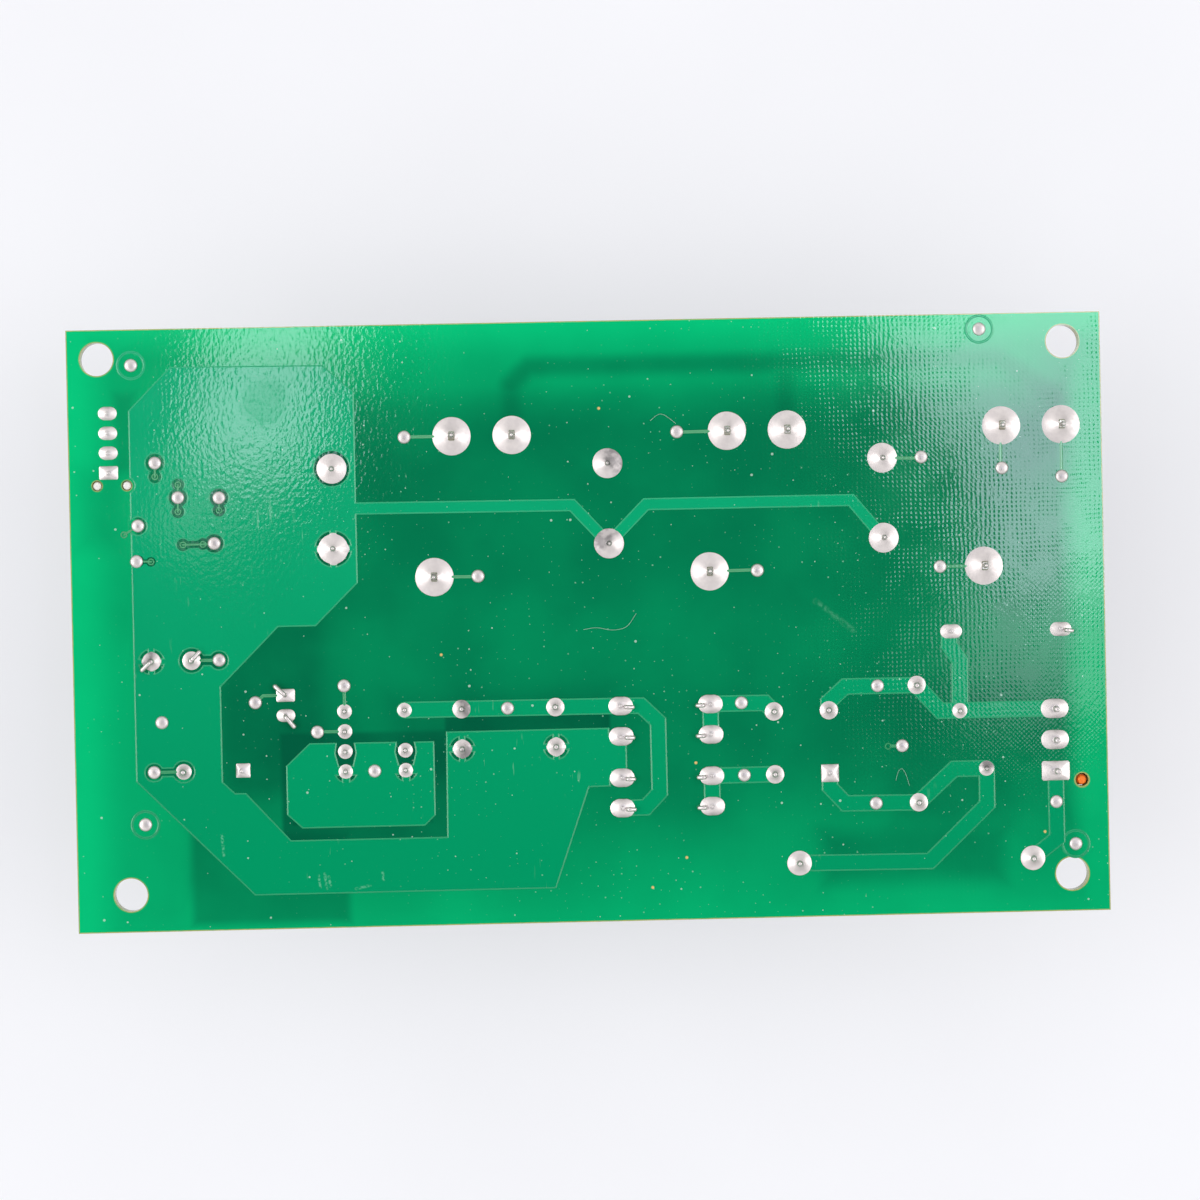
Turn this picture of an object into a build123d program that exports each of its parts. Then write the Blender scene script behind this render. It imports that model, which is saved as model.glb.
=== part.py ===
from build123d import *
import os
from math import atan, atan2, degrees

# Relay and supply board of an oven, lying component side down.
# X runs along the board, Y across it and +Z points out of the solder side.
# The origin is under the middle of the board, where the relays' blade tips touch the ground.

# Power relays
RELAY_COUNT = 3
RELAY_LENGTH = 32.3
RELAY_WIDTH = 27.4
RELAY_HEIGHT = 20.2
RELAY_GAP = 2.6
RELAY_STANDOFF = 0.5
RELAY_BASE_HEIGHT = 3.4
RELAY_BASE_STEP = 0.35
RELAY_CORNER_CHAMFER = 0.9
RELAY_TOP_CHAMFER = 0.6
RELAY_COIL_INSET = 4.65
RELAY_COIL_PITCH = 10.16
RELAY_ROW_INSET = 4.81
RELAY_PAIR_REACH = 15.24
RELAY_PAIR_PITCH = 7.62
RELAY_COMMON_REACH = 12.7
COIL_PIN_WIDTH = 0.8
COIL_PIN_THICKNESS = 0.6
COIL_PIN_GRIP = 2.2

# Blade terminals of the relays
TAB_WIDTH = 6.35
TAB_THICKNESS = 0.8
TAB_HEIGHT = 7.75
TAB_TIP_CHAMFER = 1.3
TAB_SHANK_WIDTH = 4.6
TAB_HOLE_DIAMETER = 1.8
TAB_HOLE_DEPTH = 3.9
CONTACT_PIN_WIDTH = 1.2
CONTACT_PIN_TIP = 0.2

# Circuit board
DRIVE_BAY_LENGTH = 28.5
RELAY_END_MARGIN = 0.4
SUPPLY_BAY_WIDTH = 39.35
UPPER_MARGIN = 9.45
BOARD_THICKNESS = 1.6
COPPER_THICKNESS = 0.07
MOUNT_HOLE_DIAMETER = 4.2
UPPER_HOLE_INSET = 3.7
LOWER_HOLE_INSET = 4.75
RIGHT_HOLE_INSET = 4.8
UPPER_LEFT_HOLE_INSET = 3.8
LOWER_LEFT_HOLE_INSET = 6.7

# Copper lines
POWER_TRACE_WIDTH = 2.1
COIL_TRACE_WIDTH = 1.55
TEST_TRACE_WIDTH = 0.5
BUS_WIDTH = 2.6
PAD_CLEARANCE = 0.4

# Solder
CONTACT_JOINT_DIAMETER = 5.0
COIL_JOINT_DIAMETER = 3.9
LEAD_JOINT_DIAMETER = 2.4
CHIP_JOINT_DIAMETER = 1.9
VARISTOR_JOINT_DIAMETER = 2.0
FUSE_JOINT_DIAMETER = 3.3
JOINT_HEIGHT_SHARE = 0.36
JOINT_TOP_SHARE = 0.3
JOINT_SIDES = 10
DOT_SIDES = 8
CORNER_SHARE = 0.29
TEST_POINT_DIAMETER = 1.65
TEST_POINT_HEIGHT = 0.3
TEST_REACH = 6.0
VIA_REACH = 1.75
VIA_PAD_WIDTH = 0.9

# Wire leads
LEAD_WIDTH = 0.7

# Control header, four ways, boxed
CONTROL_WAYS = 4
CONTROL_PITCH = 2.5
CONTROL_PIN_WIDTH = 0.64
CONTROL_INSET = 5.05
CONTROL_BODY_WIDTH = 5.75
CONTROL_END = 2.45
CONTROL_BACK = 2.35
CONTROL_HEIGHT = 7.0
CONTROL_WALL = 0.75
CONTROL_FLOOR = 1.4
CONTROL_PIN_SINK = 0.7
CONTROL_SLOT_WIDTH = 1.6
CONTROL_SLOT_DEPTH = 4.2
CONTROL_JOINT_LENGTH = 2.5
CONTROL_JOINT_WIDTH = 1.8
CONTROL_PEG_DIAMETER = 1.15
CONTROL_PEG_HOLE = 1.3
CONTROL_PEG_STEP = 1.64
CONTROL_PEG_SPAN = 3.75
CONTROL_PEG_OUTER_REACH = 1.48

# Mains header, three ways, with a back wall
MAINS_WAYS = 3
MAINS_PITCH = 3.96
MAINS_PIN_WIDTH = 1.14
MAINS_PIN_LENGTH = 9.0
MAINS_INSET = 6.7
MAINS_END = 1.95
MAINS_FRONT = 3.2
MAINS_BACK = 4.7
MAINS_BASE_HEIGHT = 3.2
MAINS_WALL = 1.4
MAINS_WALL_HEIGHT = 9.6
MAINS_RIB_WIDTH = 1.2
MAINS_JOINT_LENGTH = 3.7
MAINS_JOINT_WIDTH = 2.7
MAINS_PEG_DIAMETER = 1.35
MAINS_PEG_HOLE = 1.7
MAINS_PEG_REACH = 3.35
MAINS_PEG_STEP = 1.2
PEG_SINK = 0.5

# Fuse in a glass tube
FUSE_PITCH = 29.76
FUSE_LENGTH = 20.0
FUSE_TUBE_DIAMETER = 5.2
FUSE_TUBE_WALL = 0.5
FUSE_CAP_LENGTH = 5.2
FUSE_CAP_WALL = 0.2
FUSE_WIRE = 0.3
FUSE_DROP = 1.0

# Varistor disc
VARISTOR_DIAMETER = 15.0
VARISTOR_THICKNESS = 4.8
VARISTOR_DROP = 2.6
VARISTOR_LEAD_SPAN = 7.4
VARISTOR_LEAD_OFFSET = 3.26
VARISTOR_LEAD_GRIP = 3.0

# Line filter capacitor
LINE_CAP_LENGTH = 18.0
LINE_CAP_WIDTH = 7.2
LINE_CAP_HEIGHT = 13.4
LINE_CAP_PITCH = 14.92
LINE_CAP_DROP = 0.5
LINE_CAP_EDGE = 0.7

# Common mode choke
CHOKE_PIN_WIDTH = 0.7
CHOKE_PITCH_X = 7.0
CHOKE_PITCH_Y = 8.0
CHOKE_CORE_LENGTH = 19.0
CHOKE_CORE_HEIGHT = 14.5
CHOKE_CORE_LEG = 4.2
CHOKE_CORE_THICKNESS = 5.0
CHOKE_TUBE_WALL = 0.7
CHOKE_FLANGE = 11.8
CHOKE_FLANGE_THICKNESS = 1.0
CHOKE_WINDING_LENGTH = 4.6
CHOKE_WINDING_WIDTH = 10.6
CHOKE_BASE_LENGTH = 12.2
CHOKE_BASE_HEIGHT = 1.6

# Rectifier diodes
DIODE_PITCH = 11.4
DIODE_LENGTH = 5.2
DIODE_DIAMETER = 2.7
DIODE_DROP = 0.5
DIODE_INNER_SPAN = 5.25
DIODE_OUTER_SPAN = 12.97
DIODE_JOINT_LENGTH = 3.3
DIODE_JOINT_WIDTH = 2.5

# Resistor
RESISTOR_PITCH = 14.0
RESISTOR_LENGTH = 9.0
RESISTOR_DIAMETER = 3.2
RESISTOR_DROP = 0.4
RESISTOR_CLEARANCE = 1.85
RESISTOR_JOINT_LENGTH = 2.9
RESISTOR_JOINT_WIDTH = 1.9

# Electrolytic capacitors
BULK_DIAMETER = 10.0
BULK_HEIGHT = 20.0
BULK_PITCH = 5.05
OUTPUT_DIAMETER = 8.0
OUTPUT_HEIGHT = 15.0
OUTPUT_PITCH = 5.05
FEEDBACK_DIAMETER = 5.0
FEEDBACK_HEIGHT = 11.0
FEEDBACK_PITCH = 2.55
FEEDBACK_JOINT_LENGTH = 2.4
FEEDBACK_JOINT_WIDTH = 1.8
CAN_DROP = 0.4

# Supply chip, dual in line with one corner pin left out
CHIP_ROWS = 4
CHIP_MISSING_ROW = 1
CHIP_PITCH = 2.54
CHIP_ROW_PITCH = 7.6
CHIP_LENGTH = 9.4
CHIP_WIDTH = 6.3
CHIP_HEIGHT = 3.4
CHIP_DROP = 0.7
CHIP_NOTCH_RADIUS = 0.8
CHIP_NOTCH_DEPTH = 0.4
CHIP_PIN_WIDTH = 0.5
CHIP_PIN_THICKNESS = 0.3
CHIP_SHOULDER_WIDTH = 1.4

# Drum inductor
INDUCTOR_DIAMETER = 10.4
INDUCTOR_HEIGHT = 13.0
INDUCTOR_PITCH = 7.5
INDUCTOR_DROP = 0.4
INDUCTOR_SQUARE = 2.1

# Surface parts on the component side
TRANSISTOR_LENGTH = 2.9
TRANSISTOR_WIDTH = 1.4
TRANSISTOR_HEIGHT = 1.1
TRANSISTOR_LEG_LENGTH = 0.6
TRANSISTOR_LEG_WIDTH = 0.45
CLAMP_LENGTH = 4.4
CLAMP_WIDTH = 2.6
CLAMP_HEIGHT = 2.2
CHIP_RESISTOR_LENGTH = 2.0
CHIP_RESISTOR_WIDTH = 1.25
CHIP_RESISTOR_HEIGHT = 0.55
SURFACE_END_LENGTH = 0.45
SURFACE_END_HEIGHT_SHARE = 0.5

# Places on the board, as shares of its half length and half width
FUSE_SHARE = (0.623, -0.820)
VARISTOR_SHARE = (0.738, -0.420)
LINE_CAP_SHARE = (0.630, -0.430)
CHOKE_SHARE = (0.405, -0.417)
RECTIFIER_SHARE = (0.142, -0.453)
BULK_SHARES = [(-0.253, -0.348), (-0.0715, -0.348)]
CHIP_SHARE = (-0.421, -0.381)
INDUCTOR_SHARE = (-0.734, -0.470)
OUTPUT_SHARE = (-0.810, -0.1015)
FEEDBACK_SHARE = (-0.592, -0.257)
RESISTOR_SHARE = 0.806
MAINS_SHARE = -0.4265
CONTROL_SHARE = 0.625

# Surface parts, as shares of the bay beside the relays and of the board's width
TRANSISTOR_SHARES = [(0.62, 0.82), (0.62, 0.71), (0.62, 0.60)]
CLAMP_SHARES = [(0.85, 0.82), (0.85, 0.71), (0.85, 0.60)]
CHIP_RESISTOR_SHARES = [(0.43, 0.82), (0.43, 0.71), (0.43, 0.60), (0.90, 0.46), (0.90, 0.50)]

# Clamp diodes beside the drum inductor, as shares of its diameter from its middle
INDUCTOR_CLAMP_SHARES = [(0.74, -0.26), (0.30, -0.84)]

# Copper outlines and bends, as shares of the board's half length and half width
POUR_SHARES = [
    (-0.801, 0.874), (-0.883, 0.731), (-0.883, -0.500), (-0.659, -0.886), (-0.077, -0.885),
    (-0.009, -0.551), (0.030, -0.550), (0.066, -0.497), (0.065, -0.413), (0.030, -0.354),
    (-0.284, -0.355), (-0.286, -0.705), (-0.587, -0.705), (-0.672, -0.545), (-0.693, -0.544),
    (-0.716, -0.506), (-0.716, -0.191), (-0.603, 0.004), (-0.531, 0.004), (-0.448, 0.145),
    (-0.448, 0.779), (-0.508, 0.870),
]
ISLAND_SHARES = [
    (-0.548, -0.384), (-0.594, -0.458), (-0.594, -0.621), (-0.565, -0.667), (-0.328, -0.667),
    (-0.307, -0.632), (-0.307, -0.386),
]
COIL_BEND_SHARES = [(-0.460, 0.392), (-0.031, 0.389), (0.112, 0.387), (0.510, 0.387)]
SUPPLY_BEND_SHARES = [(0.104, -0.284), (0.138, -0.346), (0.139, -0.556), (0.100, -0.622)]
RECTIFIER_BEND_SHARE = (0.335, -0.283)
LINE_BEND_SHARES = [(0.458, -0.285), (0.491, -0.234), (0.675, -0.322)]
RESISTOR_BEND_SHARES = [(0.715, -0.155), (0.695, -0.104)]
NEUTRAL_BEND_SHARES = [(0.458, -0.569), (0.487, -0.624), (0.700, -0.517)]
FUSE_BEND_SHARES = [(0.763, -0.638), (0.650, -0.823)]
PHASE_BEND_SHARE = (0.898, -0.757)
BUS_BEND_SHARES = [(-0.146, 0.780), (-0.110, 0.838), (0.800, 0.838), (0.921, 0.700)]

# Test points: on a line or a pour, beside a joint (shares of the reach), or with a via beside them
TEST_ON_COPPER_SHARES = [
    (-0.831, -0.305), (-0.423, -0.481), (-0.164, -0.282), (0.289, -0.281),
    (0.292, -0.522), (0.554, -0.234), (0.547, -0.626), (0.898, -0.634),
]
TEST_BESIDE_SHARES = [
    ("relay_1_near", -1.00, 0), ("relay_2_near", -1.06, 0), ("relay_3_near", 0, -0.90),
    ("relay_3_far", 0, -1.10), ("relay_3_coil_upper", 0.83, 0), ("relay_1_common", 0.92, 0),
    ("relay_2_common", 1.01, 0), ("relay_3_common", -0.93, 0), ("output_right", 0.58, 0),
    ("inductor_left", -0.62, 0), ("feedback_upper", -0.64, -0.14), ("chip_left_1", 0, 0.54),
    ("chip_left_2", -0.58, 0),
]
TEST_VIA_SHARES = [
    (-0.834, 0.556, [(0, -1.0)]), (-0.791, 0.440, [(0, 0.95), (0, -1.0)]), (-0.712, 0.437, [(0, -0.9)]),
    (-0.723, 0.286, [(-2.2, 0)]), (-0.869, 0.349, [(-1.0, -0.6)]), (-0.873, 0.231, [(1.0, 0)]),
    (0.600, -0.436, [(-1.0, 0)]),
]
FIDUCIAL_SHARES = [(0.765, 0.948), (-0.876, 0.881), (-0.867, -0.643), (0.9345, -0.776)]

# Derived sizes and levels
RELAY_PITCH = RELAY_LENGTH + RELAY_GAP
RELAY_ROW_PITCH = RELAY_WIDTH - 2 * RELAY_ROW_INSET
RELAY_ROW_LENGTH = RELAY_COUNT * RELAY_PITCH - RELAY_GAP
BOARD_LENGTH = DRIVE_BAY_LENGTH + RELAY_ROW_LENGTH + RELAY_END_MARGIN
BOARD_WIDTH = SUPPLY_BAY_WIDTH + RELAY_WIDTH + UPPER_MARGIN
RIGHT_EDGE = BOARD_LENGTH / 2
UPPER_EDGE = BOARD_WIDTH / 2
COMPONENT_FACE = TAB_HEIGHT + RELAY_HEIGHT
SOLDER_FACE = COMPONENT_FACE + BOARD_THICKNESS
COPPER_FACE = SOLDER_FACE + COPPER_THICKNESS

HANGING = (Align.CENTER, Align.CENTER, Align.MAX)

nodes = {}
pads = {}
board_cuts = []


def add(node, *solids):
    """Put solids into a named node."""
    nodes.setdefault(node, []).extend(solids)


def at(share):
    """Place on the board from shares of its half length and half width."""
    return share[0] * RIGHT_EDGE, share[1] * UPPER_EDGE


def hung_box(x, y, length, width, height, drop=0):
    """Box whose upper face is a given drop under the component face."""
    return Pos(x, y, COMPONENT_FACE - drop) * Box(length, width, height, align=HANGING)


def hung_can(x, y, diameter, height, drop=0):
    """Upright cylinder whose upper face is a given drop under the component face."""
    return Pos(x, y, COMPONENT_FACE - drop) * Cylinder(diameter / 2, height, align=HANGING)


def peg(x, y, diameter, length):
    """Small locating peg standing on the component face, with few sides."""
    return Pos(x, y, COMPONENT_FACE) * extrude(RegularPolygon(diameter / 2, JOINT_SIDES), length)


def lead(x, y, drop, width=LEAD_WIDTH, thickness=LEAD_WIDTH):
    """Straight pin from a drop under the component face to the solder face, with its hole in the board."""
    pin = hung_box(x, y, width, thickness, drop + BOARD_THICKNESS, -BOARD_THICKNESS)
    board_cuts.append(pin)
    return pin


def bent_lead(x, y, body_x, axis_drop):
    """Axial lead: level from the body's end to the pad, then up through the board."""
    reach = abs(x - body_x) + LEAD_WIDTH / 2
    side = 1 if x > body_x else -1
    level = hung_box(body_x + side * reach / 2, y, reach, LEAD_WIDTH, LEAD_WIDTH, axis_drop - LEAD_WIDTH / 2)
    return level + lead(x, y, axis_drop)


def lying_bar(x, y, diameter, length, axis_drop):
    """Cylinder along X with its axis a given drop under the component face."""
    return Pos(x, y, COMPONENT_FACE - axis_drop) * Rot(0, 90, 0) * Cylinder(diameter / 2, length)


def cone(diameter, height, sides):
    """Pointed cone with few sides, for the solder forms that repeat."""
    return loft([RegularPolygon(diameter / 2, sides), Vertex(0, 0, height)], ruled=True)


def joint(name, x, y, diameter, on_copper=True):
    """Cone of solder over a lead end, on the copper or on the bare board."""
    pads[name] = (x, y)
    foot = COPPER_FACE if on_copper else SOLDER_FACE
    sides = JOINT_SIDES if diameter > LEAD_JOINT_DIAMETER else DOT_SIDES
    return Pos(x, y, foot) * cone(diameter, diameter * JOINT_HEIGHT_SHARE, sides)


def cut_cone(outline, width):
    """Solder drawn in from a pad's outline to a small flat top."""
    height = width * JOINT_HEIGHT_SHARE
    slope = degrees(atan((1 - JOINT_TOP_SHARE) / (2 * JOINT_HEIGHT_SHARE)))
    return extrude(outline, height, taper=slope)


def long_pad(length, width):
    """Long pad with cut corners at its ends."""
    return chamfer(Rectangle(length, width).vertices(), width * CORNER_SHARE)


def pad_joint(name, x, y, outline, on_copper=True):
    """Solder over a long or square pad: its outline drawn in towards the lead end."""
    pads[name] = (x, y)
    foot = COPPER_FACE if on_copper else SOLDER_FACE
    size = outline.bounding_box().size
    return Pos(x, y, foot) * cut_cone(outline, min(size.X, size.Y))


def strip(route, width):
    """Line of even width along a route, with mitred bends and square ends."""
    places = [Vector(*place) for place in route]
    runs = [(after - before).normalized() for before, after in zip(places, places[1:])]
    left = []
    right = []
    for place, before, after in zip(places, runs[:1] + runs, runs + runs[-1:]):
        middle = (before + after).normalized()
        reach = Vector(-middle.Y, middle.X) * (width / 2 / middle.dot(after))
        left.append(place + reach)
        right.append(place - reach)
    return Polygon(*right, *reversed(left))


def moat(start, end, width):
    """Clearance of even width from one pad to another, with cut corners at its ends."""
    span = Vector(*end) - Vector(*start)
    middle = (Vector(*start) + Vector(*end)) / 2
    turn = degrees(atan2(span.Y, span.X))
    return Pos(middle.X, middle.Y) * Rot(0, 0, turn) * long_pad(span.length + width, width)


# Relays
def relay_blade(x, y):
    """One contact terminal: blade tab, shank through the relay and pin through the board."""
    shoulder = TAB_HEIGHT
    neck = COMPONENT_FACE - RELAY_STANDOFF
    tip = SOLDER_FACE + CONTACT_JOINT_DIAMETER * JOINT_HEIGHT_SHARE + CONTACT_PIN_TIP
    half_outline = [
        (TAB_WIDTH / 2 - TAB_TIP_CHAMFER, 0),
        (TAB_WIDTH / 2, TAB_TIP_CHAMFER),
        (TAB_WIDTH / 2, shoulder),
        (TAB_SHANK_WIDTH / 2, shoulder),
        (TAB_SHANK_WIDTH / 2, neck),
        (CONTACT_PIN_WIDTH / 2, neck),
        (CONTACT_PIN_WIDTH / 2, tip),
    ]
    mirrored = [(-across, up) for across, up in reversed(half_outline)]
    outline = Polygon(*half_outline, *mirrored)
    outline -= Pos(0, TAB_HOLE_DEPTH) * RegularPolygon(TAB_HOLE_DIAMETER / 2, DOT_SIDES)
    return Pos(x, y, 0) * extrude(Plane.YZ * outline, TAB_THICKNESS / 2, both=True)


def contact_joint(name, x, y):
    """Cone of solder round a relay contact pin, cut off below the pin's tip."""
    pads[name] = (x, y)
    outline = RegularPolygon(CONTACT_JOINT_DIAMETER / 2, JOINT_SIDES)
    return Pos(x, y, SOLDER_FACE) * cut_cone(outline, CONTACT_JOINT_DIAMETER)


for number in range(1, RELAY_COUNT + 1):
    relay = f"relay_{number}"
    case_left = -RIGHT_EDGE + DRIVE_BAY_LENGTH + (number - 1) * RELAY_PITCH
    case_x = case_left + RELAY_LENGTH / 2
    coil_x = case_left + RELAY_COIL_INSET
    row_y = -UPPER_EDGE + SUPPLY_BAY_WIDTH + RELAY_WIDTH / 2

    contact_places = {
        "near": (coil_x + RELAY_PAIR_REACH, row_y + RELAY_ROW_PITCH / 2),
        "far": (coil_x + RELAY_PAIR_REACH + RELAY_PAIR_PITCH, row_y + RELAY_ROW_PITCH / 2),
        "common": (coil_x + RELAY_COMMON_REACH, row_y - RELAY_ROW_PITCH / 2),
    }
    blades = [relay_blade(*place) for place in contact_places.values()]
    for name, place in contact_places.items():
        slot = hung_box(*place, TAB_THICKNESS, CONTACT_PIN_WIDTH, BOARD_THICKNESS, -BOARD_THICKNESS)
        board_cuts.append(slot)
        add("relay_solder_joints", contact_joint(f"{relay}_{name}", *place) - blades)
    coil_drop = RELAY_STANDOFF + COIL_PIN_GRIP
    coil_pins = []
    for name, side in (("coil_upper", 1), ("coil_lower", -1)):
        coil_y = row_y + side * RELAY_COIL_PITCH / 2
        coil_pins.append(lead(coil_x, coil_y, coil_drop, COIL_PIN_WIDTH, COIL_PIN_THICKNESS))
        add("relay_solder_joints", joint(f"{relay}_{name}", coil_x, coil_y, COIL_JOINT_DIAMETER, side < 0))

    base_length = RELAY_LENGTH - 2 * RELAY_BASE_STEP
    base_width = RELAY_WIDTH - 2 * RELAY_BASE_STEP
    base = hung_box(case_x, row_y, base_length, base_width, RELAY_BASE_HEIGHT, RELAY_STANDOFF)

    cover_drop = RELAY_STANDOFF + RELAY_BASE_HEIGHT
    cover = hung_box(case_x, row_y, RELAY_LENGTH, RELAY_WIDTH, RELAY_HEIGHT - cover_drop, cover_drop)
    cover = chamfer(cover.edges().filter_by(Axis.Z), RELAY_CORNER_CHAMFER)
    cover = chamfer(cover.faces().sort_by(Axis.Z)[0].edges(), RELAY_TOP_CHAMFER)
    add(f"{relay}_cover", cover - blades)
    add(f"{relay}_base", base - blades - coil_pins)
    add(f"{relay}_contact_blades", *blades)
    add(f"{relay}_coil_pins", *coil_pins)


# Control header
control_x = -RIGHT_EDGE + CONTROL_INSET
control_y = CONTROL_SHARE * UPPER_EDGE
control_span = (CONTROL_WAYS - 1) * CONTROL_PITCH
control_length = control_span + 2 * CONTROL_END
shell_x = control_x - CONTROL_BACK + CONTROL_BODY_WIDTH / 2
shell = hung_box(shell_x, control_y, CONTROL_BODY_WIDTH, control_length, CONTROL_HEIGHT)
bay_width = CONTROL_BODY_WIDTH - 2 * CONTROL_WALL
bay_length = control_length - 2 * CONTROL_WALL
shell -= hung_box(shell_x, control_y, bay_width, bay_length, CONTROL_HEIGHT, CONTROL_FLOOR)
slot_drop = CONTROL_HEIGHT - CONTROL_SLOT_DEPTH
for side in (-1, 1):
    slot_y = control_y + side * control_span / 2
    slot_x = shell_x + CONTROL_BODY_WIDTH / 2
    shell -= hung_box(slot_x, slot_y, 2 * CONTROL_WALL, CONTROL_SLOT_WIDTH, CONTROL_HEIGHT, slot_drop)
peg_y = control_y - control_span / 2 - CONTROL_PEG_STEP
for step in (0, CONTROL_PEG_SPAN):
    peg_x = control_x - CONTROL_PEG_OUTER_REACH + step
    shell += peg(peg_x, peg_y, CONTROL_PEG_DIAMETER, BOARD_THICKNESS - PEG_SINK)
    board_cuts.append(peg(peg_x, peg_y, CONTROL_PEG_HOLE, BOARD_THICKNESS))
control_pins = []
for way in range(CONTROL_WAYS):
    pin_y = control_y - control_span / 2 + way * CONTROL_PITCH
    pin_drop = CONTROL_HEIGHT - CONTROL_PIN_SINK
    control_pins.append(lead(control_x, pin_y, pin_drop, CONTROL_PIN_WIDTH, CONTROL_PIN_WIDTH))
    pad = long_pad(CONTROL_JOINT_LENGTH, CONTROL_JOINT_WIDTH)
    if way == 0:
        pad = Rectangle(CONTROL_JOINT_LENGTH, CONTROL_JOINT_WIDTH)
    add("lead_solder_joints", pad_joint(f"control_{way + 1}", control_x, pin_y, pad, False))
add("control_header_housing", shell - control_pins)
add("control_header_pins", *control_pins)


# Mains header
mains_x = RIGHT_EDGE - MAINS_INSET
mains_y = MAINS_SHARE * UPPER_EDGE
mains_span = (MAINS_WAYS - 1) * MAINS_PITCH
mains_length = mains_span + 2 * MAINS_END
base_x = mains_x + (MAINS_BACK - MAINS_FRONT) / 2
housing = hung_box(base_x, mains_y, MAINS_FRONT + MAINS_BACK, mains_length, MAINS_BASE_HEIGHT)
wall_x = mains_x + MAINS_BACK - MAINS_WALL / 2
housing += hung_box(wall_x, mains_y, MAINS_WALL, mains_length, MAINS_WALL_HEIGHT)
rib_x = mains_x + MAINS_BACK - MAINS_WALL
for way in range(MAINS_WAYS - 1):
    rib_y = mains_y - mains_span / 2 + MAINS_PITCH / 2 + way * MAINS_PITCH
    housing += hung_box(rib_x, rib_y, MAINS_WALL, MAINS_RIB_WIDTH, MAINS_WALL_HEIGHT)
mains_peg_x = mains_x + MAINS_PEG_REACH
mains_peg_y = mains_y - mains_span / 2 - MAINS_PEG_STEP
housing += peg(mains_peg_x, mains_peg_y, MAINS_PEG_DIAMETER, BOARD_THICKNESS - PEG_SINK)
board_cuts.append(peg(mains_peg_x, mains_peg_y, MAINS_PEG_HOLE, BOARD_THICKNESS))
mains_pins = []
for way in range(MAINS_WAYS):
    pin_y = mains_y - mains_span / 2 + way * MAINS_PITCH
    mains_pins.append(lead(mains_x, pin_y, MAINS_PIN_LENGTH, MAINS_PIN_WIDTH, MAINS_PIN_WIDTH))
    pad = long_pad(MAINS_JOINT_LENGTH, MAINS_JOINT_WIDTH)
    if way == 0:
        pad = Rectangle(MAINS_JOINT_LENGTH, MAINS_JOINT_WIDTH)
    add("lead_solder_joints", pad_joint(f"mains_{way + 1}", mains_x, pin_y, pad, way != 1))
add("mains_header_housing", housing - mains_pins)
add("mains_header_pins", *mains_pins)


# Fuse
fuse_x, fuse_y = at(FUSE_SHARE)
cap_diameter = FUSE_TUBE_DIAMETER + 2 * FUSE_CAP_WALL
fuse_drop = FUSE_DROP + cap_diameter / 2
tube_length = FUSE_LENGTH - 2 * FUSE_CAP_LENGTH
tube_bore = FUSE_TUBE_DIAMETER - 2 * FUSE_TUBE_WALL
tube = lying_bar(fuse_x, fuse_y, FUSE_TUBE_DIAMETER, tube_length, fuse_drop)
add("fuse_tube", tube - lying_bar(fuse_x, fuse_y, tube_bore, tube_length, fuse_drop))
add("fuse_wire", hung_box(fuse_x, fuse_y, tube_length, FUSE_WIRE, FUSE_WIRE, fuse_drop - FUSE_WIRE / 2))
for name, side in (("fuse_left", -1), ("fuse_right", 1)):
    cap_x = fuse_x + side * (FUSE_LENGTH - FUSE_CAP_LENGTH) / 2
    add("fuse_caps", lying_bar(cap_x, fuse_y, cap_diameter, FUSE_CAP_LENGTH, fuse_drop))
    pin_x = fuse_x + side * FUSE_PITCH / 2
    add("fuse_leads", bent_lead(pin_x, fuse_y, fuse_x + side * FUSE_LENGTH / 2, fuse_drop))
    add("lead_solder_joints", joint(name, pin_x, fuse_y, FUSE_JOINT_DIAMETER))


# Varistor
varistor_x, varistor_y = at(VARISTOR_SHARE)
varistor_drop = VARISTOR_DROP + VARISTOR_DIAMETER / 2
disc = lying_bar(varistor_x, varistor_y, VARISTOR_DIAMETER, VARISTOR_THICKNESS, varistor_drop)
varistor_leads = []
for name, side in (("varistor_upper", 1), ("varistor_lower", -1)):
    pin_x = varistor_x - side * VARISTOR_LEAD_OFFSET / 2
    pin_y = varistor_y + side * VARISTOR_LEAD_SPAN / 2
    varistor_leads.append(lead(pin_x, pin_y, VARISTOR_DROP + VARISTOR_LEAD_GRIP))
    add("lead_solder_joints", joint(name, pin_x, pin_y, VARISTOR_JOINT_DIAMETER))
add("varistor_disc", disc - varistor_leads)
add("varistor_leads", *varistor_leads)


# Line filter capacitor
line_cap_x, line_cap_y = at(LINE_CAP_SHARE)
case = hung_box(line_cap_x, line_cap_y, LINE_CAP_WIDTH, LINE_CAP_LENGTH, LINE_CAP_HEIGHT, LINE_CAP_DROP)
case = chamfer(case.edges().filter_by(Axis.Z), LINE_CAP_EDGE)
add("line_capacitor_case", chamfer(case.faces().sort_by(Axis.Z)[0].edges(), LINE_CAP_EDGE / 2))
for name, side in (("line_cap_upper", 1), ("line_cap_lower", -1)):
    pin_y = line_cap_y + side * LINE_CAP_PITCH / 2
    add("line_capacitor_leads", lead(line_cap_x, pin_y, LINE_CAP_DROP))
    add("lead_solder_joints", joint(name, line_cap_x, pin_y, LEAD_JOINT_DIAMETER))


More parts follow.
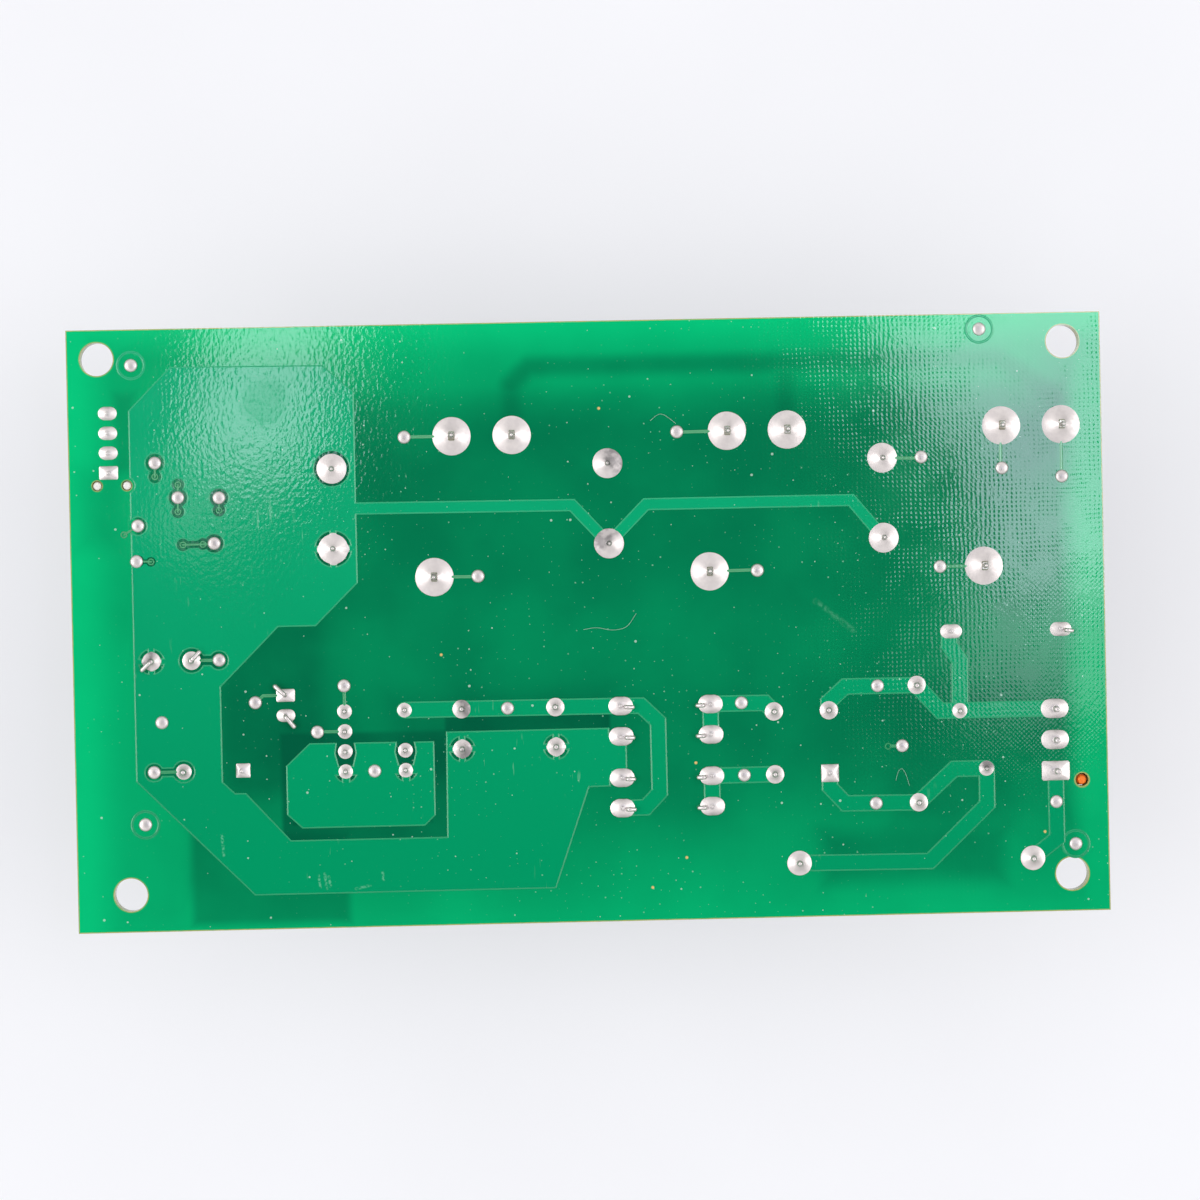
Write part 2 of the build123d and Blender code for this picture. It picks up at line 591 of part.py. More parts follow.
# Common mode choke: two windings side by side on one leg of a closed core
choke_x, choke_y = at(CHOKE_SHARE)
axis_drop = CHOKE_BASE_HEIGHT + CHOKE_FLANGE / 2
tube_height = CHOKE_CORE_LEG + 2 * CHOKE_TUBE_WALL
tube_across = CHOKE_CORE_THICKNESS + 2 * CHOKE_TUBE_WALL
bobbin_length = 2 * CHOKE_WINDING_LENGTH + 3 * CHOKE_FLANGE_THICKNESS
core_drop = axis_drop - CHOKE_CORE_LEG / 2
window_height = CHOKE_CORE_HEIGHT - 2 * CHOKE_CORE_LEG
core = hung_box(choke_x, choke_y, CHOKE_CORE_THICKNESS, CHOKE_CORE_LENGTH, CHOKE_CORE_HEIGHT, core_drop)
window_drop = core_drop + CHOKE_CORE_LEG
core -= hung_box(choke_x, choke_y, CHOKE_CORE_THICKNESS, bobbin_length, window_height, window_drop)
bobbin = hung_box(choke_x, choke_y, tube_across, bobbin_length, tube_height, axis_drop - tube_height / 2)
flange_step = CHOKE_WINDING_LENGTH + CHOKE_FLANGE_THICKNESS
for step in (-flange_step, 0, flange_step):
    flange_y = choke_y + step
    flange_size = (CHOKE_FLANGE, CHOKE_FLANGE_THICKNESS, CHOKE_FLANGE)
    bobbin += hung_box(choke_x, flange_y, *flange_size, CHOKE_BASE_HEIGHT)
bobbin += hung_box(choke_x, choke_y, CHOKE_BASE_LENGTH, bobbin_length, CHOKE_BASE_HEIGHT)
add("choke_bobbin", bobbin - core)
add("choke_core", core)
for side in (-1, 1):
    winding_y = choke_y + side * flange_step / 2
    turned = Pos(choke_x, winding_y, COMPONENT_FACE - axis_drop) * Rot(90, 0, 0)
    section = long_pad(CHOKE_WINDING_WIDTH, CHOKE_WINDING_WIDTH)
    winding = turned * extrude(section, CHOKE_WINDING_LENGTH / 2, both=True)
    add("choke_windings", winding - bobbin)
    for name, way in (("left", -1), ("right", 1)):
        pin_x = choke_x + way * CHOKE_PITCH_X / 2
        pin_y = choke_y + side * CHOKE_PITCH_Y / 2
        pad_name = f"choke_{name}_{'upper' if side > 0 else 'lower'}"
        add("choke_pins", lead(pin_x, pin_y, 0, CHOKE_PIN_WIDTH, CHOKE_PIN_WIDTH))
        if pad_name == "choke_right_lower":
            pad = Rectangle(LEAD_JOINT_DIAMETER, LEAD_JOINT_DIAMETER)
            add("lead_solder_joints", pad_joint(pad_name, pin_x, pin_y, pad))
        else:
            add("lead_solder_joints", joint(pad_name, pin_x, pin_y, LEAD_JOINT_DIAMETER))


# Rectifier diodes
rectifier_x, rectifier_y = at(RECTIFIER_SHARE)
diode_rows = [DIODE_OUTER_SPAN / 2, DIODE_INNER_SPAN / 2, -DIODE_INNER_SPAN / 2, -DIODE_OUTER_SPAN / 2]
diode_drop = DIODE_DROP + DIODE_DIAMETER / 2
for number, row in enumerate(diode_rows, start=1):
    diode_y = rectifier_y + row
    diode = lying_bar(rectifier_x, diode_y, DIODE_DIAMETER, DIODE_LENGTH, diode_drop)
    add(f"rectifier_diode_{number}", diode)
    for name, side in (("left", -1), ("right", 1)):
        pin_x = rectifier_x + side * DIODE_PITCH / 2
        add("rectifier_leads", bent_lead(pin_x, diode_y, rectifier_x + side * DIODE_LENGTH / 2, diode_drop))
        pad = long_pad(DIODE_JOINT_LENGTH, DIODE_JOINT_WIDTH)
        add("lead_solder_joints", pad_joint(f"diode_{number}_{name}", pin_x, diode_y, pad))


# Resistor
resistor_x = RESISTOR_SHARE * RIGHT_EDGE
resistor_y = -UPPER_EDGE + SUPPLY_BAY_WIDTH - RESISTOR_CLEARANCE - RESISTOR_DIAMETER / 2
resistor_drop = RESISTOR_DROP + RESISTOR_DIAMETER / 2
add("resistor_body", lying_bar(resistor_x, resistor_y, RESISTOR_DIAMETER, RESISTOR_LENGTH, resistor_drop))
for name, side in (("resistor_left", -1), ("resistor_right", 1)):
    pin_x = resistor_x + side * RESISTOR_PITCH / 2
    body_end = resistor_x + side * RESISTOR_LENGTH / 2
    add("resistor_leads", bent_lead(pin_x, resistor_y, body_end, resistor_drop))
    pad = long_pad(RESISTOR_JOINT_LENGTH, RESISTOR_JOINT_WIDTH)
    add("lead_solder_joints", pad_joint(name, pin_x, resistor_y, pad, side < 0))


# Electrolytic capacitors
def upright_pair(name, x, y, pitch):
    """Two leads and joints of an upright can, one above the other on the board."""
    for way, side in (("upper", 1), ("lower", -1)):
        add("capacitor_leads", lead(x, y + side * pitch / 2, CAN_DROP))
        add("lead_solder_joints", joint(f"{name}_{way}", x, y + side * pitch / 2, LEAD_JOINT_DIAMETER))


for number, share in enumerate(BULK_SHARES, start=1):
    bulk_x, bulk_y = at(share)
    add(f"bulk_capacitor_{number}", hung_can(bulk_x, bulk_y, BULK_DIAMETER, BULK_HEIGHT, CAN_DROP))
    upright_pair(f"bulk_{number}", bulk_x, bulk_y, BULK_PITCH)

output_x, output_y = at(OUTPUT_SHARE)
add("output_capacitor", hung_can(output_x, output_y, OUTPUT_DIAMETER, OUTPUT_HEIGHT, CAN_DROP))
for name, side in (("output_left", -1), ("output_right", 1)):
    pin_x = output_x + side * OUTPUT_PITCH / 2
    add("capacitor_leads", lead(pin_x, output_y, CAN_DROP))
    add("lead_solder_joints", joint(name, pin_x, output_y, LEAD_JOINT_DIAMETER, side < 0))

feedback_x, feedback_y = at(FEEDBACK_SHARE)
add("feedback_capacitor", hung_can(feedback_x, feedback_y, FEEDBACK_DIAMETER, FEEDBACK_HEIGHT, CAN_DROP))
for name, side in (("feedback_upper", 1), ("feedback_lower", -1)):
    pin_y = feedback_y + side * FEEDBACK_PITCH / 2
    add("capacitor_leads", lead(feedback_x, pin_y, CAN_DROP))
    pad = Rectangle if side > 0 else long_pad
    pad = pad(FEEDBACK_JOINT_LENGTH, FEEDBACK_JOINT_WIDTH)
    add("lead_solder_joints", pad_joint(name, feedback_x, pin_y, pad, False))


# Supply chip
chip_x, chip_y = at(CHIP_SHARE)
chip = hung_box(chip_x, chip_y, CHIP_WIDTH, CHIP_LENGTH, CHIP_HEIGHT, CHIP_DROP)
notch_drop = CHIP_DROP + CHIP_HEIGHT - CHIP_NOTCH_DEPTH
notch_y = chip_y + CHIP_LENGTH / 2
chip -= hung_can(chip_x, notch_y, 2 * CHIP_NOTCH_RADIUS, CHIP_NOTCH_DEPTH, notch_drop)
add("supply_chip", chip)
shoulder_drop = CHIP_DROP + CHIP_HEIGHT / 2
shoulder_reach = (CHIP_ROW_PITCH - CHIP_WIDTH + CHIP_PIN_THICKNESS) / 2
for name, side in (("left", -1), ("right", 1)):
    for row in range(CHIP_ROWS):
        if name == "right" and row == CHIP_MISSING_ROW:
            continue
        pin_x = chip_x + side * CHIP_ROW_PITCH / 2
        pin_y = chip_y + (CHIP_ROWS - 1) * CHIP_PITCH / 2 - row * CHIP_PITCH
        shoulder_x = chip_x + side * (CHIP_WIDTH + shoulder_reach) / 2
        shoulder_size = (shoulder_reach, CHIP_SHOULDER_WIDTH, CHIP_PIN_THICKNESS)
        pin = hung_box(shoulder_x, pin_y, *shoulder_size, shoulder_drop)
        pin += lead(pin_x, pin_y, shoulder_drop, CHIP_PIN_THICKNESS, CHIP_PIN_WIDTH)
        add("supply_chip_pins", pin)
        lone = name == "left" and row < 2
        pad_name = f"chip_{name}_{row + 1}"
        add("lead_solder_joints", joint(pad_name, pin_x, pin_y, CHIP_JOINT_DIAMETER, not lone))


# Drum inductor, sleeved
inductor_x, inductor_y = at(INDUCTOR_SHARE)
add("drum_inductor", hung_can(inductor_x, inductor_y, INDUCTOR_DIAMETER, INDUCTOR_HEIGHT, INDUCTOR_DROP))
for side in (-1, 1):
    pin_x = inductor_x + side * INDUCTOR_PITCH / 2
    add("inductor_leads", lead(pin_x, inductor_y, INDUCTOR_DROP))
    if side < 0:
        add("lead_solder_joints", joint("inductor_left", pin_x, inductor_y, LEAD_JOINT_DIAMETER, False))
    else:
        pad = Rectangle(INDUCTOR_SQUARE, INDUCTOR_SQUARE)
        add("lead_solder_joints", pad_joint("inductor_right", pin_x, inductor_y, pad, False))


# Surface parts
def bay_at(share):
    """Place in the bay beside the relays, from its left end and the board's lower edge."""
    return -RIGHT_EDGE + share[0] * DRIVE_BAY_LENGTH, -UPPER_EDGE + share[1] * BOARD_WIDTH


def surface_part(node, place, length, width, height):
    """Body with a metal end at each side, flat on the component face."""
    body_x, body_y = place
    add(node, hung_box(body_x, body_y, length - 2 * SURFACE_END_LENGTH, width, height))
    for side in (-1, 1):
        end_x = body_x + side * (length - SURFACE_END_LENGTH) / 2
        end_height = height * SURFACE_END_HEIGHT_SHARE
        add("surface_part_ends", hung_box(end_x, body_y, SURFACE_END_LENGTH, width, end_height))


for share in TRANSISTOR_SHARES:
    body_x, body_y = bay_at(share)
    body = hung_box(body_x, body_y, TRANSISTOR_WIDTH, TRANSISTOR_LENGTH, TRANSISTOR_HEIGHT)
    add("driver_transistors", body)
    leg_reach = (TRANSISTOR_WIDTH + TRANSISTOR_LEG_LENGTH) / 2
    leg_step = (TRANSISTOR_LENGTH - TRANSISTOR_LEG_WIDTH) / 2
    leg_height = TRANSISTOR_HEIGHT * SURFACE_END_HEIGHT_SHARE
    for leg_x, leg_y in ((-leg_reach, -leg_step), (-leg_reach, leg_step), (leg_reach, 0)):
        leg_size = (TRANSISTOR_LEG_LENGTH, TRANSISTOR_LEG_WIDTH, leg_height)
        add("surface_part_ends", hung_box(body_x + leg_x, body_y + leg_y, *leg_size))
clamp_places = [bay_at(share) for share in CLAMP_SHARES]
for share_x, share_y in INDUCTOR_CLAMP_SHARES:
    clamp_x = inductor_x + share_x * INDUCTOR_DIAMETER
    clamp_places.append((clamp_x, inductor_y + share_y * INDUCTOR_DIAMETER))
for place in clamp_places:
    surface_part("clamp_diodes", place, CLAMP_LENGTH, CLAMP_WIDTH, CLAMP_HEIGHT)
for share in CHIP_RESISTOR_SHARES:
    chip_size = (CHIP_RESISTOR_LENGTH, CHIP_RESISTOR_WIDTH, CHIP_RESISTOR_HEIGHT)
    surface_part("chip_resistors", bay_at(share), *chip_size)


# Test points and fiducial marks
def solder_dot(x, y, on_copper):
    """Low dome of solder on a bare pad."""
    foot = COPPER_FACE if on_copper else SOLDER_FACE
    return Pos(x, y, foot) * cone(TEST_POINT_DIAMETER, TEST_POINT_HEIGHT, DOT_SIDES)


def joint_edge(name):
    """How far a thin line stops from the middle of the joint that it goes to."""
    for start, size in (
        ("relay_3_coil", COIL_JOINT_DIAMETER),
        ("relay", CONTACT_JOINT_DIAMETER),
        ("chip", CHIP_JOINT_DIAMETER),
        ("feedback", FEEDBACK_JOINT_LENGTH + TEST_TRACE_WIDTH / 2),
    ):
        if name.startswith(start):
            return size / 2
    return LEAD_JOINT_DIAMETER / 2


thin_lines = []
moats = []
for share in TEST_ON_COPPER_SHARES:
    add("test_points", solder_dot(*at(share), True))
for name, share_x, share_y in TEST_BESIDE_SHARES:
    start = Vector(*pads[name])
    end = start + Vector(share_x, share_y) * TEST_REACH
    along = (end - start).normalized()
    add("test_points", solder_dot(end.X, end.Y, False))
    line_start = start + along * joint_edge(name)
    line_end = end - along * (TEST_POINT_DIAMETER / 2)
    thin_lines.append(strip([(line_start.X, line_start.Y), (line_end.X, line_end.Y)], TEST_TRACE_WIDTH))
    if name in ("output_right", "inductor_left"):
        moats.append(moat((start.X, start.Y), (end.X, end.Y), LEAD_JOINT_DIAMETER + 2 * PAD_CLEARANCE))
for share_x, share_y, vias in TEST_VIA_SHARES:
    dot = Vector(*at((share_x, share_y)))
    add("test_points", solder_dot(dot.X, dot.Y, False))
    for via_share in vias:
        via = dot + Vector(*via_share) * VIA_REACH
        along = (via - dot).normalized()
        edge = dot + along * (TEST_POINT_DIAMETER / 2)
        tip = via + along * (VIA_PAD_WIDTH / 2)
        thin_lines.append(strip([(edge.X, edge.Y), (tip.X, tip.Y)], VIA_PAD_WIDTH))
        moats.append(moat((dot.X, dot.Y), (via.X, via.Y), TEST_POINT_DIAMETER + 2 * PAD_CLEARANCE))
for share in FIDUCIAL_SHARES:
    add("fiducial_marks", solder_dot(*at(share), False))


# Copper under the green mask of the solder side
def pad_moat(name, diameter):
    """Clearance in the pour about a joint that doesn't belong to it."""
    return Pos(*pads[name]) * RegularPolygon(diameter / 2 + PAD_CLEARANCE, JOINT_SIDES)


moats.append(pad_moat("relay_1_coil_upper", COIL_JOINT_DIAMETER))
pour = Polygon(*[at(share) for share in POUR_SHARES])
pour -= moats
island = Polygon(*[at(share) for share in ISLAND_SHARES])

coil_bends = [at(share) for share in COIL_BEND_SHARES]
coil_route = coil_bends[:2] + [pads["relay_2_coil_lower"]] + coil_bends[2:] + [pads["relay_3_coil_lower"]]
supply_bends = [at(share) for share in SUPPLY_BEND_SHARES]
supply_route = [pads["chip_right_1"], pads["diode_1_left"]] + supply_bends + [pads["diode_4_left"]]
line_bends = [at(share) for share in LINE_BEND_SHARES]
line_route = [pads["choke_right_upper"]] + line_bends[:2] + [pads["line_cap_upper"]] + line_bends[2:]
neutral_bends = [at(share) for share in NEUTRAL_BEND_SHARES]
neutral_route = [pads["choke_right_lower"]] + neutral_bends[:2] + [pads["line_cap_lower"]] + neutral_bends[2:]
resistor_bends = [at(share) for share in RESISTOR_BEND_SHARES]
fuse_bends = [at(share) for share in FUSE_BEND_SHARES]
power_routes = [
    supply_route,
    [pads["diode_1_right"], pads["diode_2_right"]],
    [pads["diode_1_right"], at(RECTIFIER_BEND_SHARE), pads["choke_left_upper"]],
    [pads["diode_3_right"], pads["diode_4_right"]],
    [pads["diode_3_right"], pads["choke_left_lower"]],
    line_route + [pads["mains_3"]],
    [pads["varistor_upper"]] + resistor_bends + [pads["resistor_left"]],
    neutral_route + [pads["varistor_lower"]],
    [pads["varistor_lower"]] + fuse_bends + [pads["fuse_left"]],
    [pads["mains_1"], at(PHASE_BEND_SHARE), pads["fuse_right"]],
]
copper = pour + island + strip(coil_route, COIL_TRACE_WIDTH)
copper += [strip(route, POWER_TRACE_WIDTH) for route in power_routes]
copper += thin_lines
add("solder_side_copper", *extrude(Pos(0, 0, SOLDER_FACE) * copper, COPPER_THICKNESS).solids())


# Copper bus on the component side, joining one contact of every relay
bus_bends = [at(share) for share in BUS_BEND_SHARES]
bus = strip([pads["relay_1_far"]] + bus_bends + [pads["relay_3_far"]], BUS_WIDTH)
bus_drop = (pads["relay_2_far"][0], bus_bends[1][1])
bus += strip([pads["relay_2_far"], bus_drop], BUS_WIDTH)
bus_solid = extrude(Pos(0, 0, COMPONENT_FACE - COPPER_THICKNESS) * bus, COPPER_THICKNESS)
blade_solids = []
for number in range(1, RELAY_COUNT + 1):
    blade_solids += nodes[f"relay_{number}_contact_blades"]
add("component_side_copper", *(bus_solid - blade_solids).solids())


# Board with its mounting holes, peg holes and lead holes
hole_places = [
    (-RIGHT_EDGE + UPPER_LEFT_HOLE_INSET, UPPER_EDGE - UPPER_HOLE_INSET),
    (RIGHT_EDGE - RIGHT_HOLE_INSET, UPPER_EDGE - UPPER_HOLE_INSET),
    (-RIGHT_EDGE + LOWER_LEFT_HOLE_INSET, -UPPER_EDGE + LOWER_HOLE_INSET),
    (RIGHT_EDGE - RIGHT_HOLE_INSET, -UPPER_EDGE + LOWER_HOLE_INSET),
]
for place in hole_places:
    board_cuts.append(hung_can(*place, MOUNT_HOLE_DIAMETER, BOARD_THICKNESS, -BOARD_THICKNESS))
laminate = hung_box(0, 0, BOARD_LENGTH, BOARD_WIDTH, BOARD_THICKNESS, -BOARD_THICKNESS)
add("circuit_board", laminate - board_cuts)


os.makedirs("parts", exist_ok=True)
for node, shapes in nodes.items():
    solids = [solid for shape in shapes for solid in shape.solids()]
    export_step(Compound(solids), f"parts/{node}.step")
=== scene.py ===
from math import radians

import bmesh
import bpy
import numpy as np
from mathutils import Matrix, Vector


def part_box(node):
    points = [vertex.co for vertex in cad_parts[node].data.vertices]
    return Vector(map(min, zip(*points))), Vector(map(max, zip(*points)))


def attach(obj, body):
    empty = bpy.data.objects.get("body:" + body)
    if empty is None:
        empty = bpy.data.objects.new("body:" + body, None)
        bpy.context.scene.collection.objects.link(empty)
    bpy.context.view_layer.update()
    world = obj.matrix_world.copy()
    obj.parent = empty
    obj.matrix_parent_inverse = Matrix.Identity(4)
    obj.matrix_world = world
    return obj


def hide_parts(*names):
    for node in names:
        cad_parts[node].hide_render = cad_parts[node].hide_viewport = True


# %% [markdown]
# # An oven's control board, seen from its solder side
#
# The board lies with its relays down, so the camera looks at solder, copper lines and green mask.
# The CAD frame gives every place: this lesson reads it and dresses it, and moves nothing.
# All lengths below are in millimetres; meshes are stored in metres.

# %% Load the frame
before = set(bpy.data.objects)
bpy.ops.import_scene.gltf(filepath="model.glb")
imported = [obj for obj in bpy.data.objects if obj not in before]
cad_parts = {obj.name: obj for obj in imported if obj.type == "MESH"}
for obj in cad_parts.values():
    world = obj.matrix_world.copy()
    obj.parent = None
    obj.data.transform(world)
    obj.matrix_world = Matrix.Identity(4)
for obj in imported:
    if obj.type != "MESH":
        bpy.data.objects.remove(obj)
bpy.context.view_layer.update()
MM = 0.001
board_low, board_high = (np.array(corner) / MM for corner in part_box("circuit_board"))
SOLDER_FACE, COMPONENT_FACE = board_high[2], board_low[2]
chance = np.random.default_rng(7)
print("board", np.round(board_high - board_low, 2), "solder face at", round(SOLDER_FACE, 2))

# %% [markdown]
# ## Reading the frame
#
# One CAD node often holds many loose solids, such as all the solder cones.
# Their boxes say where each finer piece belongs, so no place is typed in twice.

# %% Boxes of loose solids


def islands(node):
    """Boxes of the loose solids of a CAD node: an array of (low corner, high corner).

    Corners at one place share a number. Every triangle hands its lowest number to its corners
    until nothing changes, and then each solid has one number of its own.
    """
    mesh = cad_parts[node].data
    spots = np.empty(len(mesh.vertices) * 3)
    mesh.vertices.foreach_get("co", spots)
    spots = spots.reshape(-1, 3) / MM
    mesh.calc_loop_triangles()
    corners = np.empty(len(mesh.loop_triangles) * 3, int)
    mesh.loop_triangles.foreach_get("vertices", corners)
    same = np.unique(np.round(spots, 3), axis=0, return_inverse=True)[1].ravel()
    corners = same[corners].reshape(-1, 3)
    label = np.arange(same.max() + 1)
    before = None
    while before is None or (before != label).any():
        before = label.copy()
        np.minimum.at(label, corners.ravel(), np.repeat(label[corners].min(axis=1), 3))
    owner = np.unique(label[same], return_inverse=True)[1].ravel()
    low = np.full((owner.max() + 1, 3), np.inf)
    high = -low
    np.minimum.at(low, owner, spots)
    np.maximum.at(high, owner, spots)
    return np.stack([low, high], axis=1)


for node in ("relay_solder_joints", "lead_solder_joints", "test_points"):
    print(node, len(islands(node)), "solids")

# %% [markdown]
# ## Surfaces from arrays
#
# A turned can, a wire or a solder cone is a grid of points: rows along it, columns round it.
# The helpers build those grids as whole arrays. Points that fall together at a pole are merged.

# %% Grid helpers


def grid_faces(rows, columns, first):
    """Four-sided faces of a grid that closes on itself across the columns."""
    row, column = np.meshgrid(np.arange(rows - 1), np.arange(columns), indexing="ij")
    after = (column + 1) % columns
    lower, upper = row * columns, (row + 1) * columns
    faces = np.stack([lower + column, lower + after, upper + after, upper + column], axis=-1)
    return faces.reshape(-1, 4) + first


def show(name, mesh, finish, stands_for=()):
    """Put a mesh into the scene as a piece that rides on the part."""
    mesh.materials.clear()
    mesh.materials.append(finish)
    piece = bpy.data.objects.new(name, mesh)
    bpy.context.scene.collection.objects.link(piece)
    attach(piece, "root")
    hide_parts(*stands_for)
    print(name, len(mesh.polygons), "faces")
    return piece


def grids_to_mesh(name, grids, crease, marks=None):
    """One mesh from several closed grids (rows x columns x 3).

    marks gives each grid a number, or one number for each column.
    """
    sizes = [grid.shape[0] * grid.shape[1] for grid in grids]
    starts = np.cumsum([0] + sizes[:-1])
    faces = [grid_faces(*grid.shape[:2], first) for grid, first in zip(grids, starts)]
    mesh = bpy.data.meshes.new(name)
    points = np.concatenate([grid.reshape(-1, 3) for grid in grids]) * MM
    mesh.from_pydata(points.tolist(), [], np.concatenate(faces).tolist())
    for mark, numbers in (marks or {}).items():
        layer = mesh.attributes.new(mark, "FLOAT", "POINT")
        pairs = zip(numbers, grids)
        spread = [np.broadcast_to(number, grid.shape[:2]).ravel() for number, grid in pairs]
        layer.data.foreach_set("value", np.concatenate(spread).astype(np.float32))
    work = bmesh.new()
    work.from_mesh(mesh)
    bmesh.ops.remove_doubles(work, verts=work.verts, dist=1e-7)
    bmesh.ops.dissolve_degenerate(work, edges=work.edges, dist=1e-8)
    bmesh.ops.recalc_face_normals(work, faces=work.faces)
    work.to_mesh(mesh)
    work.free()
    mesh.polygons.foreach_set("use_smooth", np.ones(len(mesh.polygons), bool))
    mesh.set_sharp_from_angle(angle=radians(crease))
    return mesh


def show_grids(name, grids, crease, finish, stands_for=(), marks=None):
    """Put closed grids into the scene as one piece. Edges sharper than `crease` degrees stay sharp."""
    return show(name, grids_to_mesh(name, grids, crease, marks), finish, stands_for)


def softened(points, reach, steps=5):
    """Round the inner corners of a line of points.

    Each corner becomes a quadratic curve that leaves the line `reach` before the corner and
    meets it `reach` after it, or half-way along a side that is too short.
    """
    line = np.array(points, float)
    corner = line[1:-1]
    back, ahead = line[:-2] - corner, line[2:] - corner
    back_length = np.linalg.norm(back, axis=1, keepdims=True)
    ahead_length = np.linalg.norm(ahead, axis=1, keepdims=True)
    start = corner + back * np.minimum(reach / back_length, 0.5)
    end = corner + ahead * np.minimum(reach / ahead_length, 0.5)
    t = np.linspace(0, 1, steps)[:, None, None]
    curve = (1 - t) ** 2 * start + 2 * t * (1 - t) * corner + t**2 * end
    curve = curve.transpose(1, 0, 2).reshape(-1, line.shape[1])
    return np.concatenate([line[:1], curve, line[-1:]])


def turned(profile, place, sides=48, along="z"):
    """Turn a profile of (radius, distance) points about an axis through a place."""
    radius, distance = np.array(profile, float).T
    angle = np.linspace(0, 2 * np.pi, sides, endpoint=False)
    across, up = radius[:, None] * np.cos(angle), radius[:, None] * np.sin(angle)
    grid = np.stack([across, up, np.repeat(distance[:, None], sides, axis=1)], axis=-1)
    if along == "x":
        grid = grid[..., [2, 0, 1]]
    return grid + np.array(place, float)


def wire(path, radius, upright=(0, 1, 0), sides=12):
    """Round wire: circles set square to a path, with half-round ends.

    `upright` is the direction square to the plane in which the path bends.
    """
    path = np.array(path, float)
    way = np.gradient(path, axis=0)
    way /= np.linalg.norm(way, axis=1, keepdims=True)
    turn = np.radians([0, 22.5, 45, 67.5])
    head = path[:1] - radius * np.cos(turn)[:, None] * way[:1]
    tail = path[-1:] + radius * np.cos(turn[::-1])[:, None] * way[-1:]
    size = radius * np.concatenate([np.sin(turn), np.ones(len(path)), np.sin(turn[::-1])])
    path = np.concatenate([head, path, tail])
    way = np.concatenate([np.repeat(way[:1], 4, axis=0), way, np.repeat(way[-1:], 4, axis=0)])
    side = np.cross(way, np.array(upright, float))
    side /= np.linalg.norm(side, axis=1, keepdims=True)
    up = np.cross(side, way)
    angle = np.linspace(0, 2 * np.pi, sides, endpoint=False)[None, :, None]
    ring = np.cos(angle) * side[:, None, :] + np.sin(angle) * up[:, None, :]
    return path[:, None, :] + size[:, None, None] * ring


print("a straight wire is a grid of", wire([(0, 0, 0), (0, 0, 1), (0, 0, 2)], 0.5).shape)

# %% [markdown]
# ## Flat copper from outlines
#
# A copper line is a flat plate with rounded rims where the mask flows over its edge.
# A filled flat curve with a small bevel makes just that, with openings where an outline lies inside
# another. The outlines are arrays: a widened route with round ends, a circle, a moat round a row of dots,
# or the four gaps of a spoked relief.

# %% Outline helpers


def flat_plate(outlines, top, thickness, rim, rim_drop):
    """Mesh of filled outlines: a plate down from `top` whose rim is `rim` wide and drops `rim_drop`.

    The curve is filled at millimetre size with a sloping rim. Its heights are then squashed by
    rim_drop / rim, so the rim becomes a wide, low slope, and all is shrunk to metres.
    """
    squash = rim_drop / rim
    curve = bpy.data.curves.new("plate", "CURVE")
    curve.dimensions = "2D"
    curve.fill_mode = "BOTH"
    curve.extrude = thickness / squash / 2 - rim
    curve.bevel_depth = rim
    curve.bevel_resolution = 0
    curve.offset = -rim
    for outline in outlines:
        spline = curve.splines.new("POLY")
        spline.points.add(len(outline) - 1)
        corners = np.column_stack([outline, np.zeros(len(outline)), np.ones(len(outline))])
        spline.points.foreach_set("co", corners.ravel().astype(np.float32))
        spline.use_cyclic_u = True
    holder = bpy.data.objects.new("plate", curve)
    bpy.context.scene.collection.objects.link(holder)
    graph = bpy.context.evaluated_depsgraph_get()
    mesh = bpy.data.meshes.new_from_object(holder.evaluated_get(graph), depsgraph=graph)
    bpy.data.objects.remove(holder)
    bpy.data.curves.remove(curve)
    spots = np.empty(len(mesh.vertices) * 3, np.float32)
    mesh.vertices.foreach_get("co", spots)
    spots = (spots.reshape(-1, 3) * (1, 1, squash) + (0, 0, top - thickness / 2)) * MM
    mesh.vertices.foreach_set("co", spots.ravel().astype(np.float32))
    return mesh


def joined(name, meshes):
    """One mesh from several plates. Each face keeps its own flat shading, so broad tops stay level."""
    work = bmesh.new()
    for mesh in meshes:
        work.from_mesh(mesh)
    whole = bpy.data.meshes.new(name)
    work.to_mesh(whole)
    work.free()
    whole.polygons.foreach_set("use_smooth", np.zeros(len(whole.polygons), bool))
    return whole


def circle(place, radius, corners=40):
    """Points evenly round a circle."""
    angle = np.linspace(0, 2 * np.pi, corners, endpoint=False)
    return np.array(place) + radius * np.column_stack([np.cos(angle), np.sin(angle)])


def widened(route, width, cap=9):
    """Outline of a route of even width: both sides mitred at the bends, half circles at the ends."""
    route = np.array(route, float)
    run = np.diff(route, axis=0)
    run /= np.linalg.norm(run, axis=1, keepdims=True)
    before, after = np.vstack([run[:1], run]), np.vstack([run, run[-1:]])
    middle = before + after
    middle /= np.linalg.norm(middle, axis=1, keepdims=True)
    reach = width / 2 / np.sum(middle * after, axis=1, keepdims=True)
    side = np.column_stack([-middle[:, 1], middle[:, 0]]) * reach
    swing = np.linspace(-np.pi / 2, np.pi / 2, cap)[:, None]
    ahead, back = run[-1], -run[0]
    far = np.cos(swing) * ahead + np.sin(swing) * np.array([-ahead[1], ahead[0]])
    near = np.cos(swing) * back + np.sin(swing) * np.array([-back[1], back[0]])
    right, left = (route - side)[1:-1], (route + side)[1:-1][::-1]
    return np.concatenate([right, route[-1] + width / 2 * far, left, route[0] + width / 2 * near])


